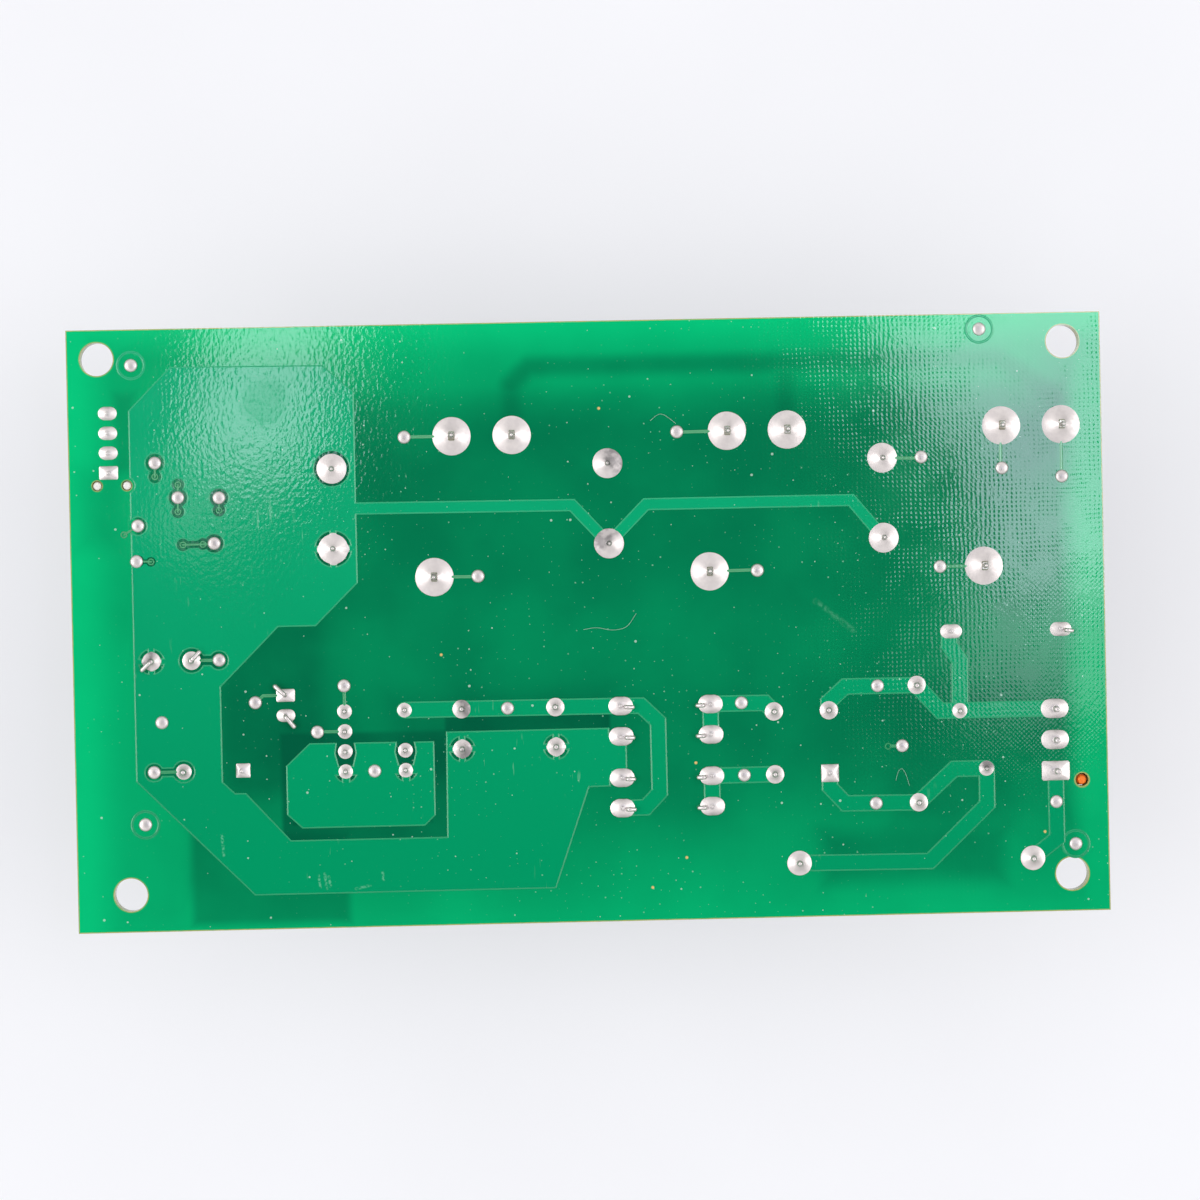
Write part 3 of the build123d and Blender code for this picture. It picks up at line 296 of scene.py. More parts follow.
def relief(place, inner, outer, quarters=(0, 1, 2, 3), spoke=0.5):
    """The curved gaps between the spokes that tie a joint to the copper round it, one for each quarter."""
    gaps = []
    for quarter in quarters:
        middle = radians(90 * quarter + 45)
        far = np.pi / 4 - np.arcsin(spoke / 2 / outer)
        near_angle = np.pi / 4 - np.arcsin(spoke / 2 / inner)
        out = middle + np.linspace(-far, far, 12)
        back = middle + np.linspace(near_angle, -near_angle, 12)
        arc = outer * np.column_stack([np.cos(out), np.sin(out)])
        return_arc = inner * np.column_stack([np.cos(back), np.sin(back)])
        gaps.append(np.array(place) + np.concatenate([arc, return_arc]))
    return gaps


def bead_moat(places, radii, neck, steps=72):
    """Outline of a moat round dots in a row: circles joined by a narrower neck.

    Along the row the half width is the largest of the circles' half chords and the neck's half width.
    The steps crowd towards both ends, where the outline turns fastest.
    """
    places = np.array(places, float)
    run = places[-1] - places[0]
    length = np.linalg.norm(run)
    run = run / length
    stations = (places - places[0]) @ run
    start, end = (stations - radii).min(), (stations + radii).max()
    along = start + (end - start) * (1 - np.cos(np.linspace(0, np.pi, steps))) / 2
    squared = np.square(radii)[:, None] - (along - stations[:, None]) ** 2
    chord = np.sqrt(np.clip(squared, 0, None)).max(axis=0)
    inside = (along > stations[0]) & (along < stations[-1])
    half = np.where(inside, np.maximum(chord, neck / 2), chord)
    side = np.array([-run[1], run[0]])
    upper = places[0] + along[:, None] * run + half[:, None] * side
    lower = places[0] + along[:, None] * run - half[:, None] * side
    return np.concatenate([upper, lower[-2:0:-1]])


print("a straight route gives an outline of", len(widened([(0, 0), (4, 0)], 1.0)), "points")

# %% [markdown]
# ## Material helpers
#
# Every finish is made of nodes that read Object coordinates, so it stays on the part in every view.
# Colours are written as the eye sees them (0 to 255) and turned into the light values that shaders use.

# %% Node helpers


def colour(red, green, blue):
    """Seen colour to light values: the standard curve, with its straight foot."""
    seen = np.array([red, green, blue]) / 255
    light = np.where(seen <= 0.04045, seen / 12.92, ((seen + 0.055) / 1.055) ** 2.4)
    return (*light.tolist(), 1.0)


def join(tree, socket, value):
    """Link a socket to another one, or give it a plain value."""
    if isinstance(value, bpy.types.NodeSocket):
        tree.links.new(value, socket)
    else:
        socket.default_value = value


def calc(tree, operation, *values):
    """One sum on sockets or numbers."""
    node = tree.nodes.new("ShaderNodeMath")
    node.operation = operation
    for socket, value in zip(node.inputs, values):
        join(tree, socket, value)
    return node.outputs[0]


def eased(tree, value, low, high, from_value=0.0, to_value=1.0):
    """Smooth step of a value from one level to another."""
    node = tree.nodes.new("ShaderNodeMapRange")
    node.interpolation_type = "SMOOTHSTEP"
    for socket, number in zip(node.inputs, (value, low, high, from_value, to_value)):
        join(tree, socket, number)
    return node.outputs[0]


def mixed(tree, share, first, second):
    """Blend of two colours."""
    node = tree.nodes.new("ShaderNodeMix")
    node.data_type = "RGBA"
    for index, value in ((0, share), (6, first), (7, second)):
        join(tree, node.inputs[index], value)
    return node.outputs[2]


def mixed_number(tree, share, first, second):
    """Blend of two numbers."""
    node = tree.nodes.new("ShaderNodeMix")
    for index, value in ((0, share), (2, first), (3, second)):
        join(tree, node.inputs[index], value)
    return node.outputs[0]


def places(tree):
    """Object coordinates in millimetres, as x, y and z sockets."""
    source = tree.nodes.new("ShaderNodeTexCoord").outputs["Object"]
    parts = tree.nodes.new("ShaderNodeSeparateXYZ")
    tree.links.new(source, parts.inputs[0])
    return [calc(tree, "DIVIDE", socket, MM) for socket in parts.outputs]


def noise(tree, size, detail=3.0, stretch=(1, 1, 1), roughness=0.5):
    """Cloudy noise whose lumps are about `size` millimetres across."""
    source = tree.nodes.new("ShaderNodeTexCoord").outputs["Object"]
    mapping = tree.nodes.new("ShaderNodeMapping")
    mapping.inputs["Scale"].default_value = stretch
    tree.links.new(source, mapping.inputs[0])
    texture = tree.nodes.new("ShaderNodeTexNoise")
    texture.inputs["Scale"].default_value = 1 / (size * MM)
    texture.inputs["Detail"].default_value = detail
    texture.inputs["Roughness"].default_value = roughness
    tree.links.new(mapping.outputs[0], texture.inputs["Vector"])
    return texture.outputs["Fac"]


def soft_box(tree, spots, x_range, y_range, blur):
    """1 inside a flat box, 0 outside, with a soft edge: the larger of the distances past its sides."""
    past = []
    for socket, (low, high) in zip(spots, (x_range, y_range)):
        below, above = calc(tree, "SUBTRACT", low, socket), calc(tree, "SUBTRACT", socket, high)
        past.append(calc(tree, "MAXIMUM", below, above))
    return eased(tree, calc(tree, "MAXIMUM", *past), -blur, blur, 1.0, 0.0)


def flat_length(tree, x, y):
    """Length of a flat step: the root of its two squares added up."""
    return calc(tree, "SQRT", calc(tree, "ADD", calc(tree, "MULTIPLY", x, x), calc(tree, "MULTIPLY", y, y)))


def soft_dot(tree, spots, place, radius, blur):
    """1 inside a flat circle, 0 outside, with a soft edge."""
    x, y = (calc(tree, "SUBTRACT", socket, middle) for socket, middle in zip(spots, place))
    return eased(tree, flat_length(tree, x, y), radius - blur, radius + blur, 1.0, 0.0)


def soft_line(tree, spots, start, end, width, blur):
    """1 on a straight band, 0 outside, with a soft edge.

    The distance is taken to the nearest point of the band's middle line.
    """
    run_x, run_y = end[0] - start[0], end[1] - start[1]
    x, y = (calc(tree, "SUBTRACT", socket, first) for socket, first in zip(spots, start))
    along = calc(tree, "ADD", calc(tree, "MULTIPLY", x, run_x), calc(tree, "MULTIPLY", y, run_y))
    share = calc(tree, "DIVIDE", along, run_x**2 + run_y**2)
    share = calc(tree, "MINIMUM", calc(tree, "MAXIMUM", share, 0.0), 1.0)
    off_x = calc(tree, "SUBTRACT", x, calc(tree, "MULTIPLY", share, run_x))
    off_y = calc(tree, "SUBTRACT", y, calc(tree, "MULTIPLY", share, run_y))
    away = flat_length(tree, off_x, off_y)
    return eased(tree, away, width / 2 - blur, width / 2 + blur, 1.0, 0.0)


def bumped(tree, shader, height, depth, strength=1.0):
    """Tilt a shader's surface by a height field that is `depth` millimetres deep."""
    node = tree.nodes.new("ShaderNodeBump")
    node.inputs["Strength"].default_value = strength
    node.inputs["Distance"].default_value = depth * MM
    tree.links.new(height, node.inputs["Height"])
    tree.links.new(node.outputs[0], shader.inputs["Normal"])


def new_finish(name):
    """Empty material: its tree and its main shader."""
    material = bpy.data.materials.new(name)
    material.use_nodes = True
    tree = material.node_tree
    return material, tree, tree.nodes["Principled BSDF"]


print("helpers ready")

# %% [markdown]
# ## The green mask
#
# The mask is a clear green lacquer over yellowish woven glass. Where nothing stands on the hidden side,
# light comes through and the green glows; under relays and cans it turns dark. This glow and shade are
# painted into the green. Copper under the mask stops that light and has one even green of its own.
# Close up, the glass weave lifts the lacquer in rows 0.57 mm apart, which breaks up every reflection.

# %% Weave and dust
WEAVE = 0.57
HALF_LENGTH, HALF_WIDTH = 65.5, 38.1
PIN_HOLES = [(1.6, 27.0), (7.2, -33.9), (13.0, -18.2), (-19.0, -3.8), (11.6, -30.2), (57.3, -27.95)]


def weave_height(tree, spots):
    """Height of the lacquer in microns: the knots of the glass weave and short upright wrinkles.

    A knot is one wave along x times half of one plus a wave along y. In some patches the y wave fades
    and the knots run together into upright ridges. A wandering shift keeps them off ruled lines.
    The weave grows to the right; the wrinkles are deepest in the left third.
    """
    x, y = spots[:2]
    turn = 2 * np.pi / WEAVE
    wander = calc(tree, "MULTIPLY", noise(tree, 2.6, 1.0), 5.0)
    wave_x = calc(tree, "SINE", calc(tree, "ADD", calc(tree, "MULTIPLY", x, turn), wander))
    wave_y = calc(tree, "SINE", calc(tree, "SUBTRACT", calc(tree, "MULTIPLY", y, turn), wander))
    knotted = eased(tree, noise(tree, 7.0, 1.0), 0.26, 0.42, 0.5, 1.0)
    along = mixed_number(tree, knotted, 0.4, calc(tree, "MULTIPLY_ADD", wave_y, 0.55, 0.5))
    patch = eased(tree, noise(tree, 3.4, 2.0), 0.34, 0.62, 0.45, 1.35)
    patch = calc(tree, "MULTIPLY", patch, eased(tree, x, -10.0, 38.0, 0.5, 1.8))
    woven = calc(tree, "MULTIPLY", calc(tree, "MULTIPLY", wave_x, along), patch)
    deep = eased(tree, x, -58.0, -44.0, 4.0, 11.0)
    deep = calc(tree, "MULTIPLY", deep, eased(tree, x, -15.0, 32.0, 1.0, 0.4))
    wrinkle = calc(tree, "MULTIPLY", noise(tree, 0.45, 1.5, (1.0, 0.7, 1.0)), deep)
    return calc(tree, "ADD", woven, wrinkle)


def dust(tree, cell, share, size):
    """Dust specks: a small dot at some of the points of a scattered pattern, of uneven size."""
    scatter = tree.nodes.new("ShaderNodeTexVoronoi")
    scatter.voronoi_dimensions = "2D"
    scatter.inputs["Scale"].default_value = 1 / (cell * MM)
    tree.links.new(tree.nodes.new("ShaderNodeTexCoord").outputs["Object"], scatter.inputs["Vector"])
    pick = tree.nodes.new("ShaderNodeSeparateColor")
    tree.links.new(scatter.outputs["Color"], pick.inputs[0])
    uneven = calc(tree, "POWER", pick.outputs[1], 4.0)
    reach = calc(tree, "MULTIPLY_ADD", uneven, size / cell * 2, size / cell)
    dot = calc(tree, "LESS_THAN", scatter.outputs["Distance"], reach)
    return calc(tree, "MULTIPLY", dot, calc(tree, "LESS_THAN", pick.outputs[0], share))


def speckled(tree, spots, base):
    """Dust of two sizes and a few bright copper pin-holes on a green colour."""
    drift = eased(tree, noise(tree, 9.0, 1.0), 0.42, 0.62, 0.08, 0.6)
    drift = calc(tree, "MULTIPLY", drift, eased(tree, spots[0], -42.0, -18.0, 0.3, 1.0))
    coarse = calc(tree, "MULTIPLY", dust(tree, 2.6, 0.2, 0.055), 0.6)
    fine = calc(tree, "MULTIPLY", dust(tree, 1.0, 0.34, 0.035), drift)
    base = mixed(tree, coarse, base, colour(196, 226, 212))
    base = mixed(tree, fine, base, colour(140, 200, 172))
    for place in PIN_HOLES:
        base = mixed(tree, soft_dot(tree, spots, place, 0.17, 0.07), base, colour(226, 190, 120))
    return base


def mask_gloss(tree, shader, spots):
    """Satin gloss: a little rougher in handled patches and in one dull round smear."""
    sheen = eased(tree, noise(tree, 7.0, 2.0), 0.3, 0.75, 0.05, 0.07)
    smear = calc(tree, "MULTIPLY", soft_dot(tree, spots, (-40.6, 28.6), 3.0, 0.9), 0.05)
    tree.links.new(calc(tree, "ADD", sheen, smear), shader.inputs["Roughness"])
    shader.inputs["IOR"].default_value = 1.5
    bumped(tree, shader, weave_height(tree, spots), 0.001)


print("weave rows", WEAVE, "mm apart,", len(PIN_HOLES), "pin-holes")

# %% [markdown]
# The glow of the bare laminate is painted light with three causes: both long margins are free of parts, the
# left and right ends let light round the board, and every hidden part takes its share away as a painted soft
# shadow.

# %% Mask over laminate
GLOW_ACROSS = [
    (-38.1, 0.62), (-36, 0.55), (-33, 0.48), (-30, 0.42), (-27, 0.38), (-24, 0.30), (-18, 0.20),
    (-12, 0.19), (-6, 0.24), (0, 0.265), (6, 0.20), (18, 0.195), (24, 0.20), (26, 0.235), (28, 0.31),
    (30, 0.46), (34, 0.61), (36, 0.76), (38.1, 0.92),
]
# Painted shadows: each soft box darkens the green where the light from behind is blocked.
PAINTED_SHADOWS = [
    ((-51.0, -31.2), (-37.3, -26.0), 0.8, 0.48), ((-64.5, -59.5), (10.5, 20.5), 2.5, 0.24),
    ((-26.0, 1.5), (-19.0, -8.5), 2.5, 0.4), ((37.5, 53.0), (-27.0, -9.0), 3.0, 0.35),
    ((29.0, 52.0), (-34.0, -27.5), 1.8, 0.42), ((-39.5, -18.5), (-27.2, -13.4), 0.4, 0.7),
    ((-47.0, -34.0), (-21.0, 1.0), 2.0, 0.5), ((-18.7, 2.2), (-13.6, -11.6), 0.3, 0.9),
    ((55.0, 60.5), (-19.0, -11.0), 2.0, 0.25), ((-57.2, -29.8), (5.8, 27.4), 0.3, 0.75),
    ((-57.2, -47.2), (-18.8, 5.8), 0.3, 0.75), ((-38.2, -20.5), (-25.0, -15.4), 0.2, 0.6),
    ((-59.6, -57.0), (20.0, 30.0), 1.0, 0.3),
]
BUS_ROUTE = [(-9.5, 24.0), (-9.5, 30.2), (-7.2, 32.45), (52.4, 32.45), (60.3, 27.0)]
BUS_BRANCH = ((25.4, 25.0), (25.4, 32.0))
FIXING_HOLES = [(-61.7, 34.4), (60.7, 34.4), (-58.8, -33.35), (60.7, -33.35)]
PEG_HOLES = [((-61.94, 18.42), 0.72), ((-58.19, 18.42), 0.72), ((62.15, -21.45), 1.0)]


def light_through(tree, spots):
    """Light that comes through the laminate, painted into the colour: a ramp across the width, bright ends,
    painted soft shadows.

    A painted shadow is a soft box (x range, y range, blur, share) that takes its share of the light away.
    The painted shadow of the copper bus of the hidden side is a chain of soft bands, fainter towards the
    right.
    """
    x, y = spots[:2]
    glow = tree.nodes.new("ShaderNodeValToRGB")
    glow.color_ramp.interpolation = "B_SPLINE"
    while len(glow.color_ramp.elements) < len(GLOW_ACROSS):
        glow.color_ramp.elements.new(0.5)
    for stop, (place, level) in zip(glow.color_ramp.elements, GLOW_ACROSS):
        stop.position = (place + HALF_WIDTH) / (2 * HALF_WIDTH)
        stop.color = (level, level, level, 1)
    tree.links.new(calc(tree, "MULTIPLY_ADD", y, 0.5 / HALF_WIDTH, 0.5), glow.inputs[0])
    margin, rim = eased(tree, x, -46.0, -53.0, 0.0, 0.54), eased(tree, x, -58.5, -65.0, 0.0, 0.28)
    left_end = calc(tree, "MULTIPLY", calc(tree, "ADD", margin, rim), eased(tree, y, -20.0, 34.0, 1.0, 1.14))
    light = calc(tree, "MAXIMUM", glow.outputs[0], left_end)
    light = calc(tree, "MAXIMUM", light, eased(tree, x, 57.0, 63.5, 0.0, 0.63))
    for x_range, y_range, blur, share in PAINTED_SHADOWS:
        shade = calc(tree, "MULTIPLY", soft_box(tree, spots, x_range, y_range, blur), share)
        light = calc(tree, "MULTIPLY", light, calc(tree, "SUBTRACT", 1.0, shade))
    # Painted shadow of the hidden copper bus: soft bands along its route.
    band = 0.0
    for start, end in [*zip(BUS_ROUTE[:-1], BUS_ROUTE[1:]), BUS_BRANCH]:
        share = 0.3 if start[0] == end[0] else 0.48
        run = calc(tree, "MULTIPLY", soft_line(tree, spots, start, end, 2.3, 1.0), share)
        band = calc(tree, "MAXIMUM", band, run)
    band = calc(tree, "MULTIPLY", band, eased(tree, x, 20.0, 42.0, 1.0, 0.5))
    return calc(tree, "MULTIPLY", light, calc(tree, "SUBTRACT", 1.0, band))


def bare_glass(tree, spots):
    """Where the mask ends: 1 at the sawn edges and round the holes, broken up a little by noise."""
    x, y = spots[:2]
    edge_x = calc(tree, "GREATER_THAN", calc(tree, "ABSOLUTE", x), HALF_LENGTH - 0.12)
    edge_y = calc(tree, "GREATER_THAN", calc(tree, "ABSOLUTE", y), HALF_WIDTH - 0.12)
    bare = calc(tree, "MAXIMUM", edge_x, edge_y)
    for place in FIXING_HOLES:
        bare = calc(tree, "MAXIMUM", bare, soft_dot(tree, spots, place, 2.22, 0.06))
    for place, ring in PEG_HOLES:
        bare = calc(tree, "MAXIMUM", bare, soft_dot(tree, spots, place, ring, 0.08))
    return calc(tree, "MULTIPLY", bare, eased(tree, noise(tree, 1.2), 0.3, 0.6, 0.6, 1.0))


def board_finish():
    """Mask over laminate: a green that follows the painted light from behind, dust, a scrape, tan bare edges.
    """
    material, tree, shader = new_finish("mask_over_laminate")
    spots = places(tree)
    cloud = eased(tree, noise(tree, 14.0, 3.0), 0.3, 0.7, -0.05, 0.05)
    light = calc(tree, "ADD", light_through(tree, spots), cloud)
    green = mixed(tree, light, colour(1, 90, 61), colour(6, 201, 125))
    scrape = soft_line(tree, spots, (28.6, 2.0), (33.5, -1.9), 0.3, 0.4)
    scrape = calc(tree, "MULTIPLY", scrape, eased(tree, noise(tree, 0.5, 2.0), 0.42, 0.62, 0.04, 0.4))
    green = speckled(tree, spots, mixed(tree, scrape, green, colour(110, 186, 152)))
    tan = mixed(tree, noise(tree, 0.4), colour(150, 150, 84), colour(196, 190, 120))
    tree.links.new(mixed(tree, bare_glass(tree, spots), green, tan), shader.inputs["Base Color"])
    mask_gloss(tree, shader, spots)
    return material


MASK_BOARD = board_finish()
print(MASK_BOARD.name, len(PAINTED_SHADOWS), "shadows")

# %% [markdown]
# Over copper the mask has one even green. Handling has left a few pale scratches on the pour.

# %% Mask over copper
SCRATCHES = [
    ((-35.1, -31.4), (-34.9, -32.9)), ((-34.3, -31.2), (-34.1, -33.1)), ((-33.8, -31.6), (-33.6, -32.8)),
    ((-27.0, -31.2), (-26.9, -32.2)), ((-30.4, -33.2), (-28.6, -32.8)), ((-47.2, -26.0), (-47.0, -28.6)),
]


def copper_finish(name, lower, upper):
    """Mask over copper: an even green, lighter towards the upper edge, with pale scuffs and scratches."""
    material, tree, shader = new_finish(name)
    spots = places(tree)
    rise = eased(tree, spots[1], -34.0, 34.0)
    green = mixed(tree, rise, colour(*lower), colour(*upper))
    cloud = eased(tree, noise(tree, 11.0, 4.0), 0.3, 0.7, 0.0, 0.16)
    green = mixed(tree, cloud, green, colour(8, 146, 96))
    scuff = noise(tree, 0.5, 2.0, (1.0, 0.12, 1.0))
    handled = eased(tree, noise(tree, 8.0), 0.55, 0.7)
    scuffed = calc(tree, "MULTIPLY", eased(tree, scuff, 0.66, 0.72), handled)
    green = mixed(tree, calc(tree, "MULTIPLY", scuffed, 0.4), green, colour(120, 196, 160))
    scratched = 0.0
    for start, end in SCRATCHES:
        scratched = calc(tree, "MAXIMUM", scratched, soft_line(tree, spots, start, end, 0.16, 0.2))
    scratched = calc(tree, "MULTIPLY", scratched, eased(tree, noise(tree, 0.3, 2.0), 0.42, 0.6, 0.05, 0.7))
    green = mixed(tree, scratched, green, colour(128, 206, 172))
    tree.links.new(speckled(tree, spots, green), shader.inputs["Base Color"])
    mask_gloss(tree, shader, spots)
    return material


MASK_COPPER = copper_finish("mask_over_copper", (1, 149, 97), (14, 169, 116))
# The thin lines' paler green is a painted highlight that stands in for the light off their rounded rims.
MASK_THIN_PAINTED_HIGHLIGHT = copper_finish("mask_over_thin_lines_painted_highlight", (58, 152, 102), (96, 170, 124))
print(MASK_COPPER.name, MASK_THIN_PAINTED_HIGHLIGHT.name)

# %% [markdown]
# ## Metals
#
# Solder is soft and bright with a fine frosted grain; some joints are duller than others,
# so each joint carries a number, dull, that the finish reads.
# Tinned wire and nickel are smoother; winding wire is copper under brown enamel.

# %% Metal finishes


def metal_finish(name, light, dark, rough, grain, depth, mark=None):
    """Metal whose colour and roughness drift with noise; a mark from 0 to 1 makes it dull."""
    material, tree, shader = new_finish(name)
    shader.inputs["Metallic"].default_value = 1.0
    drift = eased(tree, noise(tree, grain * 4, 4.0), 0.3, 0.7)
    tone = mixed(tree, drift, colour(*light), colour(*dark))
    smooth = eased(tree, noise(tree, grain * 2, 3.0), 0.3, 0.7, rough[0], rough[1])
    if mark:
        dull = tree.nodes.new("ShaderNodeAttribute")
        dull.attribute_name = mark
        cloud = eased(tree, noise(tree, 1.2, 4.0), 0.34, 0.56, 0.4, 1.0)
        blotch = calc(tree, "MULTIPLY", dull.outputs["Fac"], cloud)
        tone = mixed(tree, blotch, tone, colour(150, 145, 146))
        smooth = calc(tree, "ADD", smooth, calc(tree, "MULTIPLY", blotch, 0.16))
    tree.links.new(tone, shader.inputs["Base Color"])
    tree.links.new(smooth, shader.inputs["Roughness"])
    bumped(tree, shader, noise(tree, grain, 3.0), depth)
    return material


SOLDER = metal_finish("solder", (234, 226, 224), (224, 216, 215), (0.36, 0.46), 0.25, 0.006, "dull")
TINNED = metal_finish("tinned_wire", (224, 222, 218), (196, 194, 190), (0.22, 0.36), 0.3, 0.006)
NICKEL = metal_finish("nickel_cap", (222, 218, 208), (190, 186, 176), (0.14, 0.28), 0.6, 0.004)
BLADE = metal_finish("tinned_blade", (222, 218, 208), (190, 180, 158), (0.20, 0.36), 0.8, 0.004)
ENAMEL = metal_finish("enamelled_copper", (196, 116, 66), (160, 84, 44), (0.24, 0.36), 0.3, 0.004)
CAN_END = metal_finish("can_end", (214, 214, 214), (188, 188, 188), (0.24, 0.38), 0.4, 0.004)
print("metals ready")

# %% [markdown]
# ## Plastics, resin, ferrite and glass
#
# The hidden parts are moulded or dipped. Each gets two close tones, a fine grain and a gloss of its own.

# %% Plastic finishes


def moulded_finish(name, light, dark, rough, grain, depth):
    """Moulded or coated surface: two close tones in clouds, a fine pitted grain, drifting gloss."""
    material, tree, shader = new_finish(name)
    cloud = eased(tree, noise(tree, grain * 14, 4.0), 0.32, 0.68)
    tree.links.new(mixed(tree, cloud, colour(*light), colour(*dark)), shader.inputs["Base Color"])
    gloss = eased(tree, noise(tree, grain * 9, 3.0), 0.3, 0.7, rough[0], rough[1])
    tree.links.new(gloss, shader.inputs["Roughness"])
    bumped(tree, shader, noise(tree, grain, 2.0), depth)
    return material


RELAY_BLACK = moulded_finish("relay_cover", (30, 30, 32), (22, 22, 24), (0.30, 0.42), 0.25, 0.01)
BASE_BLACK = moulded_finish("relay_base", (38, 38, 38), (28, 28, 29), (0.45, 0.6), 0.3, 0.012)
WHITE_NYLON = moulded_finish("white_nylon", (240, 238, 234), (230, 227, 220), (0.36, 0.5), 0.3, 0.01)
ORANGE_NYLON = moulded_finish("orange_nylon", (250, 128, 30), (236, 112, 24), (0.36, 0.5), 0.3, 0.01)
BLUE_DIP = moulded_finish("blue_dip", (34, 84, 158), (24, 66, 132), (0.22, 0.34), 0.5, 0.02)
YELLOW_BOX = moulded_finish("yellow_box", (226, 186, 48), (212, 170, 36), (0.34, 0.46), 0.3, 0.008)
FERRITE = moulded_finish("ferrite", (74, 74, 78), (54, 54, 58), (0.4, 0.6), 0.2, 0.014)
RESIN_BLACK = moulded_finish("black_resin", (38, 38, 40), (27, 27, 29), (0.42, 0.56), 0.18, 0.008)
SLEEVE = moulded_finish("can_sleeve", (26, 30, 44), (20, 23, 34), (0.20, 0.30), 0.6, 0.006)
SLEEVE_STRIPE = moulded_finish("sleeve_stripe", (176, 182, 190), (160, 166, 176), (0.24, 0.34), 0.6, 0.006)
SHRINK = moulded_finish("shrink_sleeve", (30, 30, 31), (21, 21, 22), (0.34, 0.48), 0.5, 0.014)
RESISTOR_BLUE = moulded_finish("resistor_coat", (122, 160, 178), (104, 142, 162), (0.34, 0.46), 0.25, 0.012)
BAND_DARK = moulded_finish("dark_band", (70, 44, 30), (56, 34, 24), (0.34, 0.46), 0.25, 0.008)
BAND_PALE = moulded_finish("pale_band", (206, 206, 202), (188, 188, 184), (0.34, 0.46), 0.25, 0.008)


def glass_finish():
    """Clear glass for the fuse tube: almost smooth, with a faint drift in its gloss."""
    material, tree, shader = new_finish("fuse_glass")
    shader.inputs["Transmission Weight"].default_value = 1.0
    shader.inputs["IOR"].default_value = 1.5
    tint = mixed(tree, noise(tree, 3.0), colour(246, 250, 248), colour(236, 244, 242))
    tree.links.new(tint, shader.inputs["Base Color"])
    tree.links.new(eased(tree, noise(tree, 2.0), 0.3, 0.7, 0.01, 0.05), shader.inputs["Roughness"])
    return material


GLASS = glass_finish()
print("plastics ready")

# %% [markdown]
# ## The CAD nodes that stay
#
# Boxes, housings and square pins are already right in the frame, so they only get their finishes.

# %% Finish the kept CAD nodes
kept = {
    "circuit_board": MASK_BOARD, "component_side_copper": MASK_COPPER,
    "fuse_tube": GLASS, "fuse_wire": TINNED,
    "control_header_housing": WHITE_NYLON, "control_header_pins": TINNED,
    "mains_header_housing": ORANGE_NYLON, "mains_header_pins": TINNED,
    "line_capacitor_case": YELLOW_BOX,
    "choke_core": FERRITE, "choke_bobbin": RESIN_BLACK, "choke_pins": TINNED,
    "supply_chip": RESIN_BLACK, "supply_chip_pins": TINNED,
    "driver_transistors": RESIN_BLACK, "clamp_diodes": RESIN_BLACK, "chip_resistors": RESIN_BLACK,
    "surface_part_ends": TINNED,
}
for number in (1, 2, 3):
    kept[f"relay_{number}_cover"] = RELAY_BLACK
    kept[f"relay_{number}_base"] = BASE_BLACK
    kept[f"relay_{number}_coil_pins"] = TINNED
for node, finish in kept.items():
    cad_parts[node].data.materials.clear()
    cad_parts[node].data.materials.append(finish)
print(len(kept), "nodes finished")

# %% [markdown]
# ## Copper under the mask
#
# One large pour fills the left side and runs along the lower edge; an island lies inside it.
# Joints that belong to the pour hang on four spokes; the others, and the dots with their small
# vias, stand in a moat. All are openings in the pour's outline.

# %% The pour, the island and their openings
LIFT = 0.07
SUNK = 0.05
RIM = 0.17
STEP = 0.001
pour_outline = [
    (-52.47, 33.3), (-57.84, 27.85), (-57.84, -19.05), (-43.16, -33.76), (-5.04, -33.72), (-0.59, -20.99),
    (2.1, -20.96), (2.1, -19.9), (4.26, -19.2), (4.26, -15.3), (2.1, -14.6), (2.1, -13.49), (-18.6, -13.53),
    (-18.73, -26.86), (-38.45, -26.86), (-44.02, -20.76), (-45.39, -20.73), (-46.9, -19.28), (-46.9, -7.28),
    (-39.5, 0.15), (-34.78, 0.15), (-29.34, 5.52), (-29.34, 29.68), (-33.27, 33.15),
]
island_outline = [
    (-35.89, -14.63), (-38.91, -17.45), (-38.91, -23.66), (-37.01, -25.41), (-21.48, -25.41),
    (-20.11, -24.08), (-20.11, -14.71), (-22.7, -14.71), (-22.5, -16.0), (-22.9, -17.6),
    (-24.62, -17.6), (-25.02, -16.0), (-24.82, -14.68), (-30.3, -14.66), (-30.1, -16.0),
    (-30.5, -17.6), (-32.22, -17.6), (-32.62, -16.0), (-32.42, -14.65),
]
spoked_joints = [
    ((-32.35, 9.9), 1.85, 2.22), ((-55.6, -3.9), 1.1, 1.52), ((-16.6, -15.77), 1.1, 1.52),
    ((-4.68, -15.76), 1.1, 1.52),
]
POUR_WALL = -57.84


def wall_bay(place, radius):
    """Arc by which the pour's left wall steps back from a hole or a dot, from the wall and back to it."""
    open_angle = np.arccos((POUR_WALL - place[0]) / radius)
    angle = np.linspace(open_angle, -open_angle, 20)
    return np.array(place) + radius * np.column_stack([np.cos(angle), np.sin(angle)])


